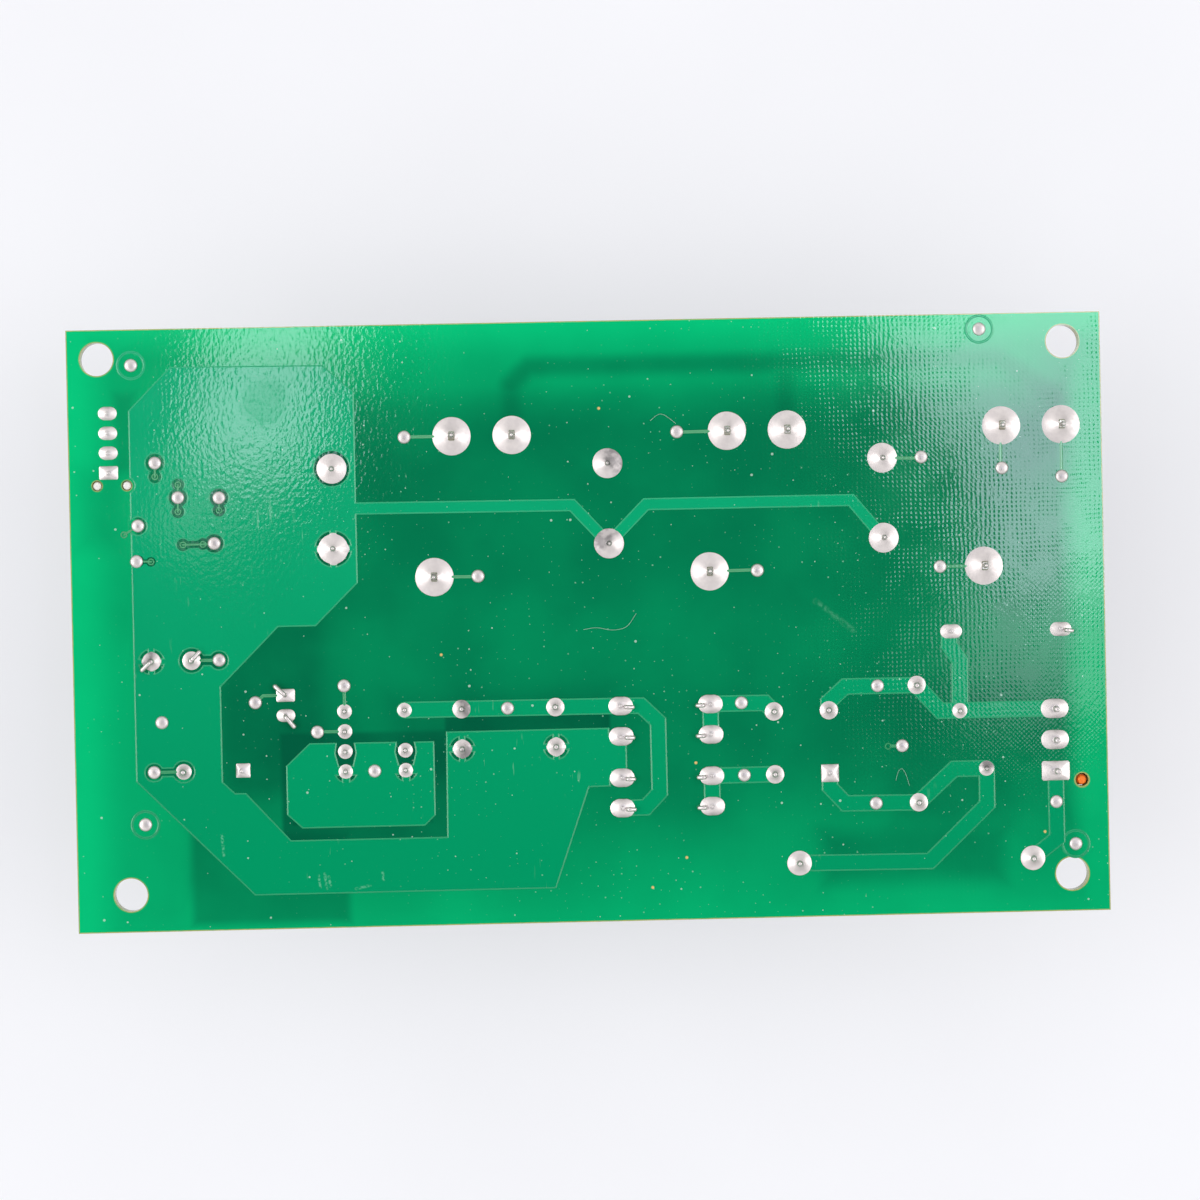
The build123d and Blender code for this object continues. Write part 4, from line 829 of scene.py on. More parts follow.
pour_outline = np.concatenate(
    [pour_outline[:2], wall_bay((-58.19, 18.42), 0.95), wall_bay((-56.93, 13.28), 1.1), pour_outline[2:]]
)
pour_gaps = [gap for place, inner, outer in spoked_joints for gap in relief(place, inner, outer, spoke=0.9)]
chip_columns = (-31.36, -23.76)
island_gaps = [gap for x in chip_columns for gap in relief((x, -18.32), 0.9, 1.3, (2, 3), 1.1)]
pour_moats = [
    circle((-32.35, 20.05), 2.22), bead_moat([(-50.53, -3.85), (-47.08, -3.89)], [1.52, 1.12], 1.15),
    bead_moat([(-51.82, -17.9), (-55.55, -17.92)], [1.3, 1.08], 0.9),
]
dots_with_vias = [
    [(-54.61, 21.19), (-54.64, 19.45)], [(-51.76, 18.38), (-51.84, 16.76), (-51.83, 14.97)],
    [(-46.63, 16.64), (-46.66, 15.06)], [(-47.35, 10.89), (-48.77, 10.8), (-51.29, 10.79)],
    [(-56.93, 13.28), (-58.69, 12.21)], [(-57.0, 8.82), (-55.37, 8.73)],
]
# The fifth row has no moat: its dot stands in a bay of the pour's wall, outside the copper.
moat_sizes = [[1.16, 0.78], [0.78, 1.16, 0.78], [1.16, 0.78], [1.16, 0.74, 0.78], None, [0.94, 0.78]]
pour_moats += [bead_moat(row, sizes, 0.9) for row, sizes in zip(dots_with_vias, moat_sizes) if sizes]
pour = flat_plate([pour_outline, *pour_gaps, *pour_moats], SOLDER_FACE + LIFT, LIFT + SUNK, RIM, LIFT)
island = flat_plate([np.array(island_outline), *island_gaps], SOLDER_FACE + LIFT, LIFT + SUNK, RIM, LIFT)
print("pour", len(pour.polygons), "island", len(island.polygons))

# %% [markdown]
# ## Copper lines
#
# Coil lines are 1.55 mm wide, mains and supply lines 2.1, lines to test dots 0.38 and to vias 0.26.
# Each is a widened route. Where routes cross, each next one lies a micron lower, so no two faces
# share one plane, which a renderer can't sort.

# %% Lines of four widths
COIL_LINE, POWER_LINE, TEST_LINE, VIA_LINE = 1.55, 2.1, 0.38, 0.26
coil_route = [
    (-30.1, 14.94), (-2.03, 14.82), (2.52, 9.87), (7.34, 14.74), (33.41, 14.74), (37.45, 9.87),
]
power_routes = [
    [
        (-23.76, -10.7), (3.62, -10.76), (6.2, -10.8), (8.29, -12.85), (8.33, -21.85), (6.55, -23.7),
        (3.62, -23.73),
    ],
    [(15.0, -10.76), (15.0, -14.63)], [(15.0, -10.76), (21.94, -10.78), (23.0, -11.9)],
    [(15.0, -19.88), (15.0, -23.73)], [(15.0, -19.88), (23.0, -19.87)],
    [(30.0, -11.85), (30.0, -10.86), (32.16, -8.92), (41.26, -8.94), (44.21, -12.27), (58.8, -12.28)],
    [(46.74, -12.32), (46.83, -5.91), (45.52, -3.96), (45.6, -2.22)],
    [(30.0, -19.92), (30.0, -21.68), (31.9, -23.77), (41.25, -23.85), (45.85, -19.7), (50.0, -19.71)],
    [(50.0, -19.71), (49.98, -24.31), (42.58, -31.36), (25.95, -31.25)],
    [(58.8, -20.22), (58.82, -28.84), (55.71, -31.21)],
]
test_routes = [
    [(-23.10, 23.85), (-17.1, 23.84)], [(11.41, 23.79), (17.78, 23.84)], [(52.54, 18.46), (52.6, 23.84)],
    [(60.32, 17.1), (60.3, 23.84)], [(42.43, 19.88), (37.45, 20.0)], [(-14.14, 6.01), (-19.65, 6.06)],
    [(21.30, 6.14), (15.2, 6.06)], [(44.55, 6.06), (50.1, 6.06)], [(-47.08, -3.89), (-50.53, -3.83)],
    [(-55.55, -17.92), (-51.82, -17.89)], [(-42.64, -9.39), (-41.6, -8.5), (-38.75, -8.5)],
    [(-31.38, -7.45), (-31.36, -10.68)], [(-34.82, -13.21), (-31.36, -13.25)],
    [(39.33, -16.63), (37.9, -16.63)],
]
lines = [(coil_route, COIL_LINE)]
lines += [(route, POWER_LINE) for route in power_routes]
lines += [(route, TEST_LINE) for route in test_routes]
lines += [(row, VIA_LINE) for row in dots_with_vias]
plates, thin_plates = [pour, island], []
for index, (route, width) in enumerate(lines):
    lift = LIFT - STEP * (index + 1)
    rim = min(RIM, width * 0.32)
    plate = flat_plate([widened(route, width)], SOLDER_FACE + lift, lift + SUNK, rim, LIFT)
    (plates if width > 1 else thin_plates).append(plate)
solder_dots = [
    (-54.61, 21.19), (-51.84, 16.76), (-46.63, 16.64), (-47.35, 10.89), (-56.93, 13.28), (-57.0, 8.82),
]
vias = [place for row in dots_with_vias for place in row if place not in solder_dots] + [(37.5, -16.63)]
for place in vias:
    ring = [circle(place, 0.44, 24), circle(place, 0.26, 16)]
    thin_plates.append(flat_plate(ring, SOLDER_FACE + LIFT, LIFT + SUNK, 0.05, LIFT))
fiducials = islands("fiducial_marks").mean(axis=1)[:, :2]
for place in fiducials:
    ring = [circle(place, 1.86), circle(place, 1.52)]
    plates.append(flat_plate(ring, SOLDER_FACE + 0.05, 0.09, 0.14, 0.05))
mesh = joined("copper_under_mask", plates)
show("copper_under_mask", mesh, MASK_COPPER, ["solder_side_copper"])
show("thin_lines_under_mask", joined("thin_lines_under_mask", thin_plates), MASK_THIN_PAINTED_HIGHLIGHT)

# %% [markdown]
# ## Solder joints
#
# Molten solder climbs the wire and thins out over the pad: a cone with a hollow flank.
# Rows go from the pad's outline up to the wire's tip. The radius shrinks from the outline to the wire,
# and the height grows slowly at first and steeply near the wire.

# %% One joint as a grid


def pad_outline(angle, half, square):
    """Distance from a pad's middle to its edge at each angle.

    A square pad is a super-ellipse of power 18. Any other is a straight strip with two half-round ends:
    where the ray meets the strip, its half height over the sine; elsewhere the ray's hit on the end circle.
    """
    across, up = np.abs(np.cos(angle)), np.maximum(np.abs(np.sin(angle)), 1e-6)
    if square:
        return ((across / half[0]) ** 18 + (up / half[1]) ** 18) ** (-1 / 18)
    strip = max(half[0] - half[1], 0.0)
    side, end = half[1] / up, strip * across + np.sqrt(half[1] ** 2 - (strip * up) ** 2)
    return np.where(side * across < strip, side, end)


def joint_grid(place, foot, half, square, flank, pin, top, sides=44, shift=(0.0, 0.0), hollow=1.0, tabs=0.0):
    """Solder on a pad: a flank, a collar round the pin and a small dome over its tip.

    Towards the pin the pad's outline turns into a circle. With s from 1 at the outline to 0 at the pin,
    a hollow flank rises as 0.6 (1 - s) + 0.4 (1 - s)^2 and a pillow as 1 - s^2. The collar then rises
    steeply. `tabs` lets the solder run out over the four spokes by that share of the radius.
    """
    angle = np.linspace(0, 2 * np.pi, sides, endpoint=False)
    outline = pad_outline(angle, half, square)
    phase = chance.uniform(0, 2 * np.pi, 2)
    outline = outline * (1 + 0.003 * np.sin(3 * angle + phase[0]) + 0.002 * np.sin(5 * angle + phase[1]))
    outline = outline * (1 + tabs * np.clip((np.cos(4 * angle) - 0.6) / 0.25, 0, 1))
    s = np.linspace(1, 0, 18)[:, None]
    pad = outline * s**1.4 + min(half) * (1 - s**1.4)
    flank_radius = pin + (pad - pin) * s
    rise = hollow * (0.6 * (1 - s) + 0.4 * (1 - s) ** 2) + (1 - hollow) * (1 - s**2)
    flank_level = flank * rise * (1 + 0.16 * np.sin(2 * angle + phase[1]) * s * (1 - s))
    collar = np.array([[0.93, 0.3], [0.84, 0.62], [0.7, 0.84], [0.45, 0.96], [0.0, 1.0]])
    tip_radius = pin * collar[:, :1] + 0 * outline
    tip_level = flank + (top - flank) * collar[:, 1:] + 0 * outline
    sole = np.stack([0 * outline, outline])
    radius = np.concatenate([sole, flank_radius, tip_radius])
    level = np.concatenate([0 * sole - 0.04, flank_level, tip_level])
    lean = np.clip(level / top, 0, 1) ** 1.5
    across = place[0] + radius * np.cos(angle) + shift[0] * lean
    up = place[1] + radius * np.sin(angle) + shift[1] * lean
    return np.stack([across, up, foot + level], axis=-1)


def joint_boxes(node):
    """Middle, foot height, half sizes and full height of each solid of a node of joints."""
    boxes = islands(node)
    size = boxes[:, 1] - boxes[:, 0]
    return boxes.mean(axis=1)[:, :2], boxes[:, 0, 2], size[:, :2] / 2, size[:, 2]


def near(place, spots, reach=1.0):
    """True where a place lies within reach of one of some spots."""
    return bool((np.linalg.norm(np.array(spots) - place, axis=1) < reach).any())


print("a square pad 1 mm wide reaches", pad_outline(np.pi / 4, (0.5, 0.5), True).round(2), "mm at its corner")

# %% [markdown]
# Relay joints come first. Their flanks are low, so they mirror the sky and not the green board;
# only the collar at the pin is steep.

# %% Relay joints
dull_joints = {
    (2.52, 20.0): 35, (2.52, 9.87): 140, (-16.6, -15.77): -30, (-55.6, -3.9): 160, (-16.7, -10.8): 20,
    (50.0, -19.71): 90,
}


def dull_side(place, sides):
    """How dull a joint is at each angle: one half of a dull joint is, and a bright one hardly anywhere."""
    for spot, heading in dull_joints.items():
        if near(place, [spot]):
            angle = np.linspace(0, 2 * np.pi, sides, endpoint=False)
            return np.clip(0.5 + 1.2 * np.cos(angle - radians(heading)), 0.08, 0.9)
    return np.full(sides, chance.uniform(0, 0.1))


grids, dullness = [], []
for place, foot, half, height in zip(*joint_boxes("relay_solder_joints")):
    contact = half[0] > 2.2
    pin, top = (0.36, height + 0.2) if contact else (0.3, height + 0.04)
    shift = chance.uniform(-0.08, 0.08, 2)
    tabs = 0.11 if near(place, [(-32.35, 9.9)]) else 0.0
    half = np.full(2, half[0]) * 0.97
    grids.append(joint_grid(place, foot, half, False, height * 0.5, pin, top, 64, shift, tabs=tabs))
    dullness.append(dull_side(place, 64))
show_grids("relay_joints", grids, 60, SOLDER, ["relay_solder_joints"], {"dull": dullness})

# %% [markdown]
# The smaller joints take their outline from the pad: round, long or square.
# On the two headers the solder covers the pin, so those joints are low pillows.

# %% Lead joints
square_places = [(-60.46, 20.06), (58.8, -20.22), (-38.75, -8.5), (-44.36, -17.93), (30.0, -19.92)]
grids, dullness = [], []
for place, foot, half, height in zip(*joint_boxes("lead_solder_joints")):
    square, long = near(place, square_places), half[0] > half[1] * 1.15
    pin = min(0.36, min(half) * 0.3)
    shift = chance.uniform(-0.06, 0.06, 2)
    if near(place, [(-44.36, -17.93)]):
        pad, lean = half * 0.86, (-0.5, -0.1)
        grids.append(joint_grid(place, foot, pad, True, height * 0.4, 0.2, height * 0.7, 48, lean, 0.1))
    elif place[0] > 57 and place[1] < -10:
        pad = half * (0.96, 0.92)
        grids.append(joint_grid(place, foot, pad, square, height * 0.44, 0.42, height, 48, (0.3, -0.12), 0.1))
    elif square or long:
        pad = half * ((0.98, 0.9) if abs(place[0] + 38.8) < 1 else (0.95, 0.95))
        grids.append(joint_grid(place, foot, pad, square, height * 0.5, 0.24, height * 0.66, 48, shift, 0.1))
    else:
        tabs = 0.09 if near(place, [spot for spot, inner, outer in spoked_joints]) else 0.0
        pad = np.full(2, half.mean()) * (0.82 if near(place, [(-51.82, -17.9)]) else 0.97)
        top = height + 0.02
        grids.append(joint_grid(place, foot, pad, False, height * 0.54, pin, top, 48, shift, tabs=tabs))
    dullness.append(dull_side(place, 48))
show_grids("lead_joints", grids, 60, SOLDER, ["lead_solder_joints"], {"dull": dullness})

# %% [markdown]
# Test dots and the four sighting marks are low domes: a flat drop of solder on a bare round pad.

# %% Test dots and sighting marks


def dome_grid(place, foot, radius, height, sides=28):
    """Low dome: radius times the cosine and height times the sine of a rising angle."""
    rise = np.radians(np.linspace(0, 90, 8))
    profile = [(0, -0.04), (radius, -0.04), *zip(radius * np.cos(rise), height * np.sin(rise))]
    return turned(profile, (place[0], place[1], foot), sides)


for node, height in (("test_points", 0.36), ("fiducial_marks", 0.32)):
    places_found, feet = joint_boxes(node)[:2]
    grids = [dome_grid(place, foot, 0.84, height) for place, foot in zip(places_found, feet)]
    dullness = chance.uniform(0, 0.12, len(grids))
    show_grids(node + "_solder", grids, 60, SOLDER, [node], {"dull": dullness})

# %% [markdown]
# ## Bent-over lead ends
#
# Before soldering, some wires are bent over so that the part can't fall out. Their ends lie in
# the solder and stick out past the pad.

# %% Bent-over ends
bent_ends = [
    ((-55.6, -3.9), 222, 0.2, 1.5), ((-50.5, -3.85), 46, 0.2, 1.42), ((-38.75, -8.5), 138, 0.2, 1.72),
    ((-38.85, -11.08), -52, 0.2, 1.75), ((59.85, -2.25), -8, 0.6, 1.3),
]
for row in (-10.76, -14.63, -19.88, -23.73):
    bent_ends += [((3.6, row - 0.12), -2, 0.7, 1.5), ((15.0, row - 0.1), 182, 1.0, 1.68)]
grids = []
for place, heading, first, last in bent_ends:
    way = np.array([np.cos(radians(heading)), np.sin(radians(heading)), 0])
    start = np.array([*place, SOLDER_FACE])
    stations = [(first - 0.15, 0.3), (first, 0.82), (last, 0.52)]
    path = [start + way * along + (0, 0, height) for along, height in stations]
    grids.append(wire(softened(path, 0.3), 0.28, np.cross(way, (0, 0, 1)), 14))
show_grids("bent_lead_ends", grids, 50, SOLDER)

# %% [markdown]
# ## Peg ends
#
# The headers' moulded pegs show in their holes. Their rounded ends are small turned domes.

# %% Peg ends
peg_line = [(0, -0.7), (0.57, -0.7), (0.57, -0.2), (0.4, 0), (0, 0)]
for name, finish, slot, pegs in (
    ("white_peg_ends", WHITE_NYLON, "white_nylon", [(-61.94, 18.42), (-58.19, 18.42)]),
    ("orange_peg_end", ORANGE_NYLON, "orange_nylon", [(62.15, -21.45)]),
):
    grids = [turned(softened(peg_line, 0.12), (*place, SOLDER_FACE - 0.02), 24) for place in pegs]
    show_grids(name, grids, 60, finish)

# %% [markdown]
# ## Relay blades
#
# Each contact is one stamped strip: a blade tab with a round locking hole, a shank through the relay
# and a narrow pin through the board. A flat plate with a rounded rim, stood on end, is that strip.

# %% Relay blades


def blade_mesh(box):
    """Stamped strip inside a box: outline across Y and up Z, thickness along X.

    Its pin ends inside the solder.
    """
    low, high = box
    middle = (low + high) / 2
    shoulder, neck, tip = 7.75, COMPONENT_FACE - 0.5, high[2] - 1.0
    half = [(1.85, 0.0), (3.175, 1.3), (3.175, shoulder), (2.3, shoulder)]
    half += [(2.3, neck), (0.6, neck), (0.6, tip - 0.2), (0.4, tip)]
    outline = np.array(half + [(-across, up) for across, up in half[::-1]])
    mesh = flat_plate([outline, circle((0, 3.9), 0.9, 32)], 0.4, 0.8, 0.1, 0.1)
    spots = np.empty(len(mesh.vertices) * 3, np.float32)
    mesh.vertices.foreach_get("co", spots)
    spots = spots.reshape(-1, 3)[:, [2, 0, 1]] + np.array([middle[0], middle[1], 0]) * MM
    mesh.vertices.foreach_set("co", spots.ravel().astype(np.float32))
    return mesh


for number in (1, 2, 3):
    node = f"relay_{number}_contact_blades"
    mesh = joined(f"relay_{number}_blades", [blade_mesh(box) for box in islands(node)])
    show(mesh.name, mesh, BLADE, [node])

# %% [markdown]
# ## Wire leads
#
# The frame draws leads as square wire. Here each becomes round wire of the same width:
# upright ones rise from the part into the board, axial ones leave the body level and bend up.

# %% Upright and bent wire leads


def upright_wire(box):
    """Straight round wire through the middle of an upright box."""
    low, high = box
    x, y = (low + high)[:2] / 2
    path = np.linspace((x, y, low[2] + 0.2), (x, y, high[2] - 0.2), 3)
    return wire(path, (high - low)[:2].min() / 2, (0, 1, 0), 14)


def axial_wire(box, body_x):
    """Round wire from a lying body's end to its pad: level, a rounded bend, then up."""
    low, high = box
    radius = (high - low)[1] / 2
    y = (low + high)[1] / 2
    start, end = (low[0], high[0] - radius) if low[0] > body_x else (high[0], low[0] + radius)
    path = [(start, y, low[2] + radius), (end, y, low[2] + radius), (end, y, high[2] - radius)]
    return wire(softened(path, 1.1, 7), radius, (0, 1, 0), 14)


for node in ("capacitor_leads", "varistor_leads", "line_capacitor_leads", "inductor_leads"):
    grids = [upright_wire(box) for box in islands(node)]
    show_grids(node + "_round", grids, 50, TINNED, [node])
lying_leads = {
    "fuse_leads": "fuse_tube", "rectifier_leads": "rectifier_diode_1", "resistor_leads": "resistor_body",
}
for node, body in lying_leads.items():
    body_x = islands(body).mean(axis=(0, 1))[0]
    grids = [axial_wire(box, body_x) for box in islands(node)]
    show_grids(node + "_round", grids, 50, TINNED, [node])

# %% [markdown]
# ## Electrolytic capacitors
#
# A can in a shrink sleeve: the sleeve folds over both rims, a bead is rolled in near the rubber end,
# and the bare end of the can carries a scored cross that opens under pressure.
# Sleeve, pale stripe and bare end are separate pieces because they have separate finishes.

# %% Cans, sleeves and stripes
BEAD_SHARE = 0.16


def standing(box):
    """Middle x and y, radius, lower and upper end of an upright round body that fills a box."""
    low, high = box
    x, y = (low + high)[:2] / 2
    return x, y, (high - low)[0] / 2, low[2], high[2]


def can_sleeve(box):
    """Sleeve profile: folded rim, straight wall with a rolled bead near the board, folded rim."""
    x, y, r, bottom, top = standing(box)
    bead = top - BEAD_SHARE * (top - bottom)
    line = [
        (0, bottom + 0.25), (r * 0.78, bottom + 0.25), (r * 0.8, bottom), (r, bottom),
        (r, bead - 1.0), (r * 0.93, bead), (r, bead + 1.0), (r, top),
        (r * 0.62, top), (r * 0.6, top - 0.3), (0, top - 0.3),
    ]
    return turned(softened(line, 0.45), (x, y, 0), 56)


def can_end(box):
    """Bare end of the can: a shallow dish with two crossed grooves."""
    x, y, r, bottom = standing(box)[:4]
    r = r * 0.79
    radius = np.concatenate([[0], np.linspace(r, 0.0, 22)])
    grid = turned(np.column_stack([radius, np.full(len(radius), bottom + 0.14)]), (x, y, 0), 72)
    across, up = grid[1:, :, 0] - x, grid[1:, :, 1] - y
    groove = np.exp(-((across / 0.22) ** 2)) + np.exp(-((up / 0.22) ** 2))
    inside = np.clip((r * 0.85 - np.hypot(across, up)) / 0.3, 0, 1)
    grid[1:, :, 2] += 0.14 * groove * inside - 0.06
    grid[0, :, 2] += 0.1
    return grid


def stripe_grid(box, heading):
    """Pale stripe down the sleeve: a thin curved shell over a part of its round."""
    x, y, r, bottom, top = standing(box)
    angle = radians(heading) + np.linspace(-0.42, 0.42, 14)
    loop = np.concatenate([angle, angle[::-1]])
    depth = np.concatenate([np.full(14, r + 0.015), np.full(14, r - 0.05)])
    level = np.linspace(bottom + 0.7, top - BEAD_SHARE * (top - bottom) - 1.2, 8)
    ring = np.stack([x + depth * np.cos(loop), y + depth * np.sin(loop)], axis=-1)
    rows = [np.concatenate([ring, np.full((28, 1), height)], axis=1) for height in level]
    close = [np.repeat(rows[index].mean(axis=0, keepdims=True), 28, axis=0) for index in (0, -1)]
    return np.stack([close[0], *rows, close[1]])


cans = {"bulk_capacitor_1": -90, "bulk_capacitor_2": -90, "output_capacitor": 180, "feedback_capacitor": -90}
for node, heading in cans.items():
    box = islands(node)[0]
    show_grids(node + "_sleeve", [can_sleeve(box)], 50, SLEEVE, [node])
    show_grids(node + "_end", [can_end(box)], 60, CAN_END)
    show_grids(node + "_stripe", [stripe_grid(box, heading)], 40, SLEEVE_STRIPE)

# %% [markdown]
# ## Drum inductor, diodes, resistor and fuse caps
#
# All four are turned shapes: a profile of radius against distance, spun about its axis.
# The resistor's ends are thicker because caps sit under its coating.

# %% Drum inductor


def drum_sleeve(box):
    """Sleeved drum: the sleeve shrinks in over both rims and leaves a shallow recess in each end."""
    x, y, r, bottom, top = standing(box)
    waist = (bottom + top) / 2
    line = [
        (0, bottom + 0.3), (r * 0.66, bottom + 0.3), (r * 0.7, bottom), (r * 0.94, bottom),
        (r, bottom + 0.9), (r * 0.975, waist), (r, top - 0.9), (r * 0.94, top),
        (r * 0.7, top), (r * 0.66, top - 0.3), (0, top - 0.3),
    ]
    return turned(softened(line, 0.6), (x, y, 0), 56)


box = islands("drum_inductor")[0]
show_grids("drum_inductor_sleeve", [drum_sleeve(box)], 50, SHRINK, ["drum_inductor"])
x, y, _, bottom, _ = standing(box)
ferrite_end = [(0, bottom + 0.12), (3.3, bottom + 0.12), (3.45, bottom + 0.4), (0, bottom + 0.4)]
show_grids("drum_inductor_end", [turned(ferrite_end, (x, y, 0), 40)], 40, FERRITE)

# %% Diodes, resistor and fuse caps


def lying(node, profile_of, sides=40):
    """Turn a profile about the X axis of every solid of a node: profile_of(half length, radius)."""
    grids = []
    for low, high in islands(node):
        half, radius = (high - low)[0] / 2, (high - low)[1] / 2
        grids.append(turned(softened(profile_of(half, radius), 0.3), (low + high) / 2, sides, "x"))
    return grids


def both_ends(line):
    """A lying profile from one end, continued to the other end by mirroring its distances."""
    return line + [(radius, -distance) for radius, distance in line[::-1]]


def diode_line(half, radius):
    """Moulded barrel with slightly drawn-in ends."""
    return both_ends([(0, -half), (radius * 0.86, -half), (radius, -half + 0.5)])


def resistor_line(half, radius):
    """Coated body, thicker over its end caps."""
    cap = [(0, -half), (radius * 0.7, -half), (radius, -half + 0.6), (radius, -half + 1.9)]
    return both_ends([*cap, (radius * 0.86, -half + 2.5)])


def cap_line(half, radius):
    """Pressed cap with round edges."""
    return both_ends([(0, -half), (radius - 0.15, -half), (radius, -half + 0.2)])


def band(box, offset, width, over):
    """Painted ring round a lying body, a hair above its surface."""
    low, high = box
    middle, radius = (low + high) / 2, (high - low)[1] / 2 * over
    inner, outer, half = radius - 0.1, radius + 0.015, width / 2
    line = [(inner, -half), (outer, -half), (outer, half), (inner, half), (inner, -half)]
    return turned(line, middle + (offset, 0, 0), 40, "x")


for number, side in ((1, 1), (2, -1), (3, 1), (4, -1)):
    node = f"rectifier_diode_{number}"
    show_grids(node + "_body", lying(node, diode_line), 40, RESIN_BLACK, [node])
    ring = band(islands(node)[0], side * 1.6, 0.7, 1.0)
    show_grids(node + "_band", [ring], 40, BAND_PALE)
coat = lying("resistor_body", resistor_line)
show_grids("resistor_coat", coat, 40, RESISTOR_BLUE, ["resistor_body"])
box = islands("resistor_body")[0]
dark_rings = [band(box, offset, 0.55, 0.86) for offset in (-1.5, -0.5, 0.5)] + [band(box, -3.2, 0.6, 1.0)]
show_grids("resistor_rings", dark_rings, 40, BAND_DARK)
show_grids("fuse_end_caps", lying("fuse_caps", cap_line), 40, NICKEL, ["fuse_caps"])

# %% [markdown]
# ## Varistor
#
# A ceramic disc dipped in resin: its rim is rounded, its faces bulge a little, and the resin
# runs down the wires as two short sleeves.

# %% Dipped disc
low, high = islands("varistor_disc")[0]
half, radius, middle = (high - low)[0] / 2, (high - low)[1] / 2, (low + high) / 2
disc_line = [
    (0, -half), (radius * 0.55, -half), (radius * 0.9, -half * 0.82), (radius, 0),
    (radius * 0.9, half * 0.82), (radius * 0.55, half), (0, half),
]
grids = [turned(softened(disc_line, 2.2, 8), middle, 64, "x")]
drip = [(0, -3.2), (0.9, -3.2), (0.85, -1.0), (0.62, 0.9), (0.42, 1.5), (0, 1.5)]
for wire_low, wire_high in islands("varistor_leads"):
    x, y = (wire_low + wire_high)[:2] / 2
    grids.append(turned(softened(drip, 0.4), (x, y, high[2]), 24))
show_grids("varistor_dip", grids, 50, BLUE_DIP, ["varistor_disc"])

# %% [markdown]
# ## Choke windings
#
# Fine wire wound side by side shows as even ridges. The surface is a rounded square swept along the
# winding's axis, and its size rises and falls with each turn of the wire.

# %% Windings with turns


def winding_grid(box, turns=13):
    """Rounded-square rings along Y whose reach swells by half a wire at each turn."""
    low, high = box
    middle, reach = (low + high) / 2, (high - low)[0] / 2
    angle = np.linspace(0, 2 * np.pi, 64, endpoint=False)
    square = (np.abs(np.cos(angle)) ** 5 + np.abs(np.sin(angle)) ** 5) ** (-1 / 5)
    share = np.linspace(0, 1, turns * 8 + 1)
    swell = 0.16 * np.abs(np.sin(np.pi * turns * share))
    size = reach - 0.2 + swell
    size = np.concatenate([[0.0, reach - 0.3], size, [reach - 0.3, 0.0]])[:, None]
    level = np.concatenate([[0, 0], share, [1, 1]])[:, None] * (high - low)[1] + low[1]
    x, z = middle[0] + size * square * np.cos(angle), middle[2] + size * square * np.sin(angle)
    return np.stack([x, np.repeat(level, 64, axis=1), z], axis=-1)


grids = [winding_grid(box) for box in islands("choke_windings")]
show_grids("choke_wire", grids, 70, ENAMEL, ["choke_windings"])

# %% [markdown]
# ## Dust fibres
#
# Three hair-thin fibres lie on the mask. Each is a thin wire along a smooth wandering line.

# %% Fibres on the mask
fibre_lines = [
    [(8.1, 25.3), (8.9, 26.0), (9.6, 26.2), (10.6, 25.5), (11.3, 24.9)],
    [(38.4, -21.0), (38.7, -19.8), (39.2, -19.4), (39.7, -20.2), (40.1, -21.7)],
    [(-0.9, -1.0), (0.8, -0.7), (2.6, -1.2), (4.6, -0.9), (5.8, 0.9)],
]
grids = []
for line in fibre_lines:
    path = np.column_stack([np.array(line), np.full(len(line), SOLDER_FACE + 0.06)])
    grids.append(wire(softened(path, 0.9, 9), 0.035, (0, 0, 1), 6))
LINT = moulded_finish("pale_lint", (122, 186, 158), (150, 198, 174), (0.5, 0.65), 0.3, 0.004)
show_grids("dust_fibres", grids, 70, LINT)

# %% [markdown]
# ## Stage: floor, light and camera
#
# A pale floor, a soft dome of light and five small soft boxes. The dome is dark straight overhead, where
# the flat mask would mirror it, and has a bright strip on the left and on the right, which draws light
# along the upright rims of the copper.
# The boxes stand where the mask mirrors them: three make the bright patch at the right, two the one
# at the left. Seen from below, the floor is clear.

# %% Floor
SPAN = 30.0
floor_mesh = bpy.data.meshes.new("floor")
corners = [(-SPAN, -SPAN, 0), (SPAN, -SPAN, 0), (SPAN, SPAN, 0), (-SPAN, SPAN, 0)]
floor_mesh.from_pydata(corners, [], [(0, 1, 2, 3)])
floor = bpy.data.objects.new("floor", floor_mesh)
bpy.context.scene.collection.objects.link(floor)
material, tree, shader = new_finish("pale_floor")
tone = mixed(tree, noise(tree, 60.0, 3.0), colour(172, 172, 175), colour(178, 178, 181))
tree.links.new(tone, shader.inputs["Base Color"])
shader.inputs["Roughness"].default_value = 0.9
rays = tree.nodes.new("ShaderNodeLightPath")
tree.links.new(tone, shader.inputs["Emission Color"])
seen = calc(tree, "ADD", rays.outputs["Is Camera Ray"], rays.outputs["Is Glossy Ray"])
seen = calc(tree, "MINIMUM", calc(tree, "ADD", seen, rays.outputs["Is Transmission Ray"]), 1.0)
tree.links.new(calc(tree, "MULTIPLY", seen, 1.12), shader.inputs["Emission Strength"])
back = tree.nodes.new("ShaderNodeNewGeometry").outputs["Backfacing"]
below = calc(tree, "MULTIPLY", back, rays.outputs["Is Camera Ray"])
tree.links.new(calc(tree, "SUBTRACT", 1.0, below), shader.inputs["Alpha"])
floor_mesh.materials.append(material)
print("floor", SPAN * 2, "m")

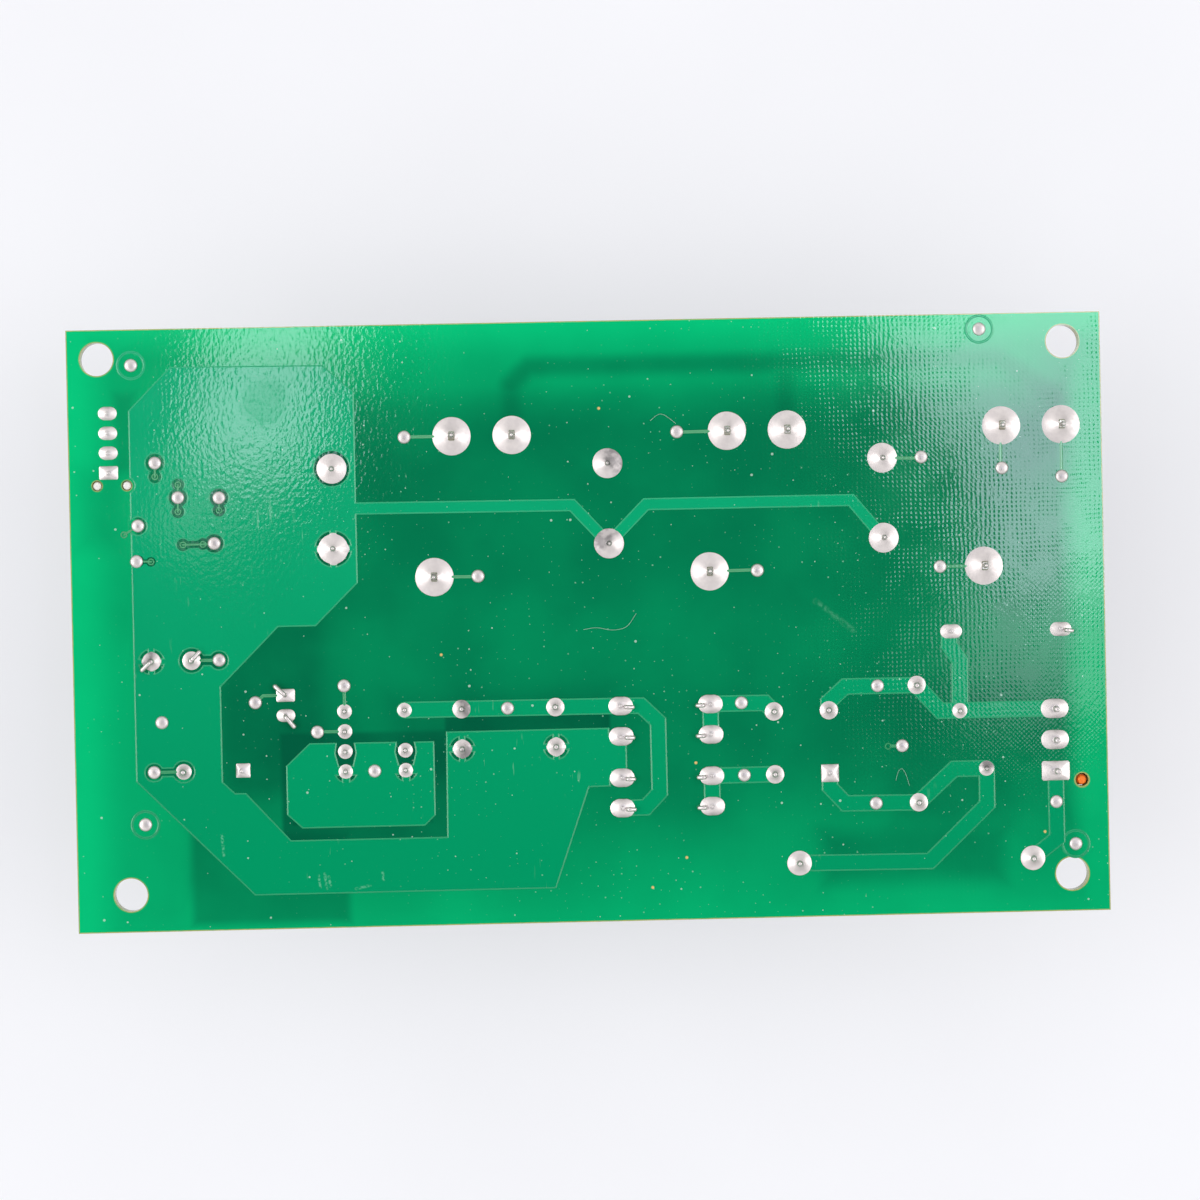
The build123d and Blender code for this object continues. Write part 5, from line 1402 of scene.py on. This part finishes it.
# %% World
world = bpy.data.worlds.new("soft_dome")
bpy.context.scene.world = world
world.use_nodes = True
tree = world.node_tree
background = tree.nodes["Background"]
parts = tree.nodes.new("ShaderNodeSeparateXYZ")
tree.links.new(tree.nodes.new("ShaderNodeTexCoord").outputs["Generated"], parts.inputs[0])
side, depth, height = parts.outputs
overhead = eased(tree, height, 0.91, 0.955, 1.0, 0.02)
high_ring = eased(tree, height, 0.2, 0.62, 0.48, 1.0)
strip = eased(tree, calc(tree, "ABSOLUTE", side), 0.54, 0.64)
strip = calc(tree, "MULTIPLY", strip, eased(tree, height, 0.42, 0.54))
strip = calc(tree, "MULTIPLY", strip, eased(tree, calc(tree, "ABSOLUTE", depth), 0.18, 0.45, 2.4, 0.0))
leftward = calc(tree, "MULTIPLY_ADD", side, -0.1, 1.0)
dome = calc(tree, "MULTIPLY", calc(tree, "ADD", high_ring, strip), calc(tree, "MULTIPLY", leftward, overhead))
background.inputs["Color"].default_value = (1.0, 1.0, 1.0, 1.0)
tree.links.new(dome, background.inputs["Strength"])
print("world", world.name, len(tree.nodes), "nodes")

# %% Soft boxes
LAMP_HEIGHT = 1.03


def soft_light(name, place, size, turn, radiance):
    """Rectangular lamp facing down: its power is pi times its area times the brightness it shows."""
    lamp = bpy.data.lights.new(name, "AREA")
    lamp.shape = "RECTANGLE"
    lamp.color = (0.9, 0.97, 1.18)
    lamp.size, lamp.size_y = size
    lamp.energy = np.pi * size[0] * size[1] * radiance
    holder = bpy.data.objects.new(name, lamp)
    holder.location = place
    holder.rotation_euler = (0, 0, radians(turn))
    bpy.context.scene.collection.objects.link(holder)
    print(name, round(lamp.energy, 3), "W")


soft_light("right_soft_box", (0.247, 0.074, LAMP_HEIGHT), (0.094, 0.159), 6, 6.8)
soft_light("low_right_soft_box", (0.2391, -0.0358, LAMP_HEIGHT), (0.087, 0.06), 6, 2.6)
soft_light("upper_soft_box", (0.1835, 0.106, LAMP_HEIGHT), (0.034, 0.08), 22, 6.4)
soft_light("left_soft_box", (-0.1365, 0.1035, LAMP_HEIGHT), (0.057, 0.094), -15, 5.8)
soft_light("low_left_soft_box", (-0.166, 0.042, LAMP_HEIGHT), (0.036, 0.044), -27, 1.4)

# %% Camera
camera_data = bpy.data.cameras.new("camera")
camera_data.lens = 85
camera_data.sensor_width = 36
camera = bpy.data.objects.new("camera", camera_data)
camera.location = (-0.00631, 0.00604, 0.38866)
camera.rotation_euler = (-0.00881, -0.02126, -0.02087)
camera_data.clip_start = 0.01
bpy.context.scene.collection.objects.link(camera)
bpy.context.scene.camera = camera
bpy.context.scene.view_settings.view_transform = "Standard"
print("camera", tuple(round(value, 4) for value in camera.location))
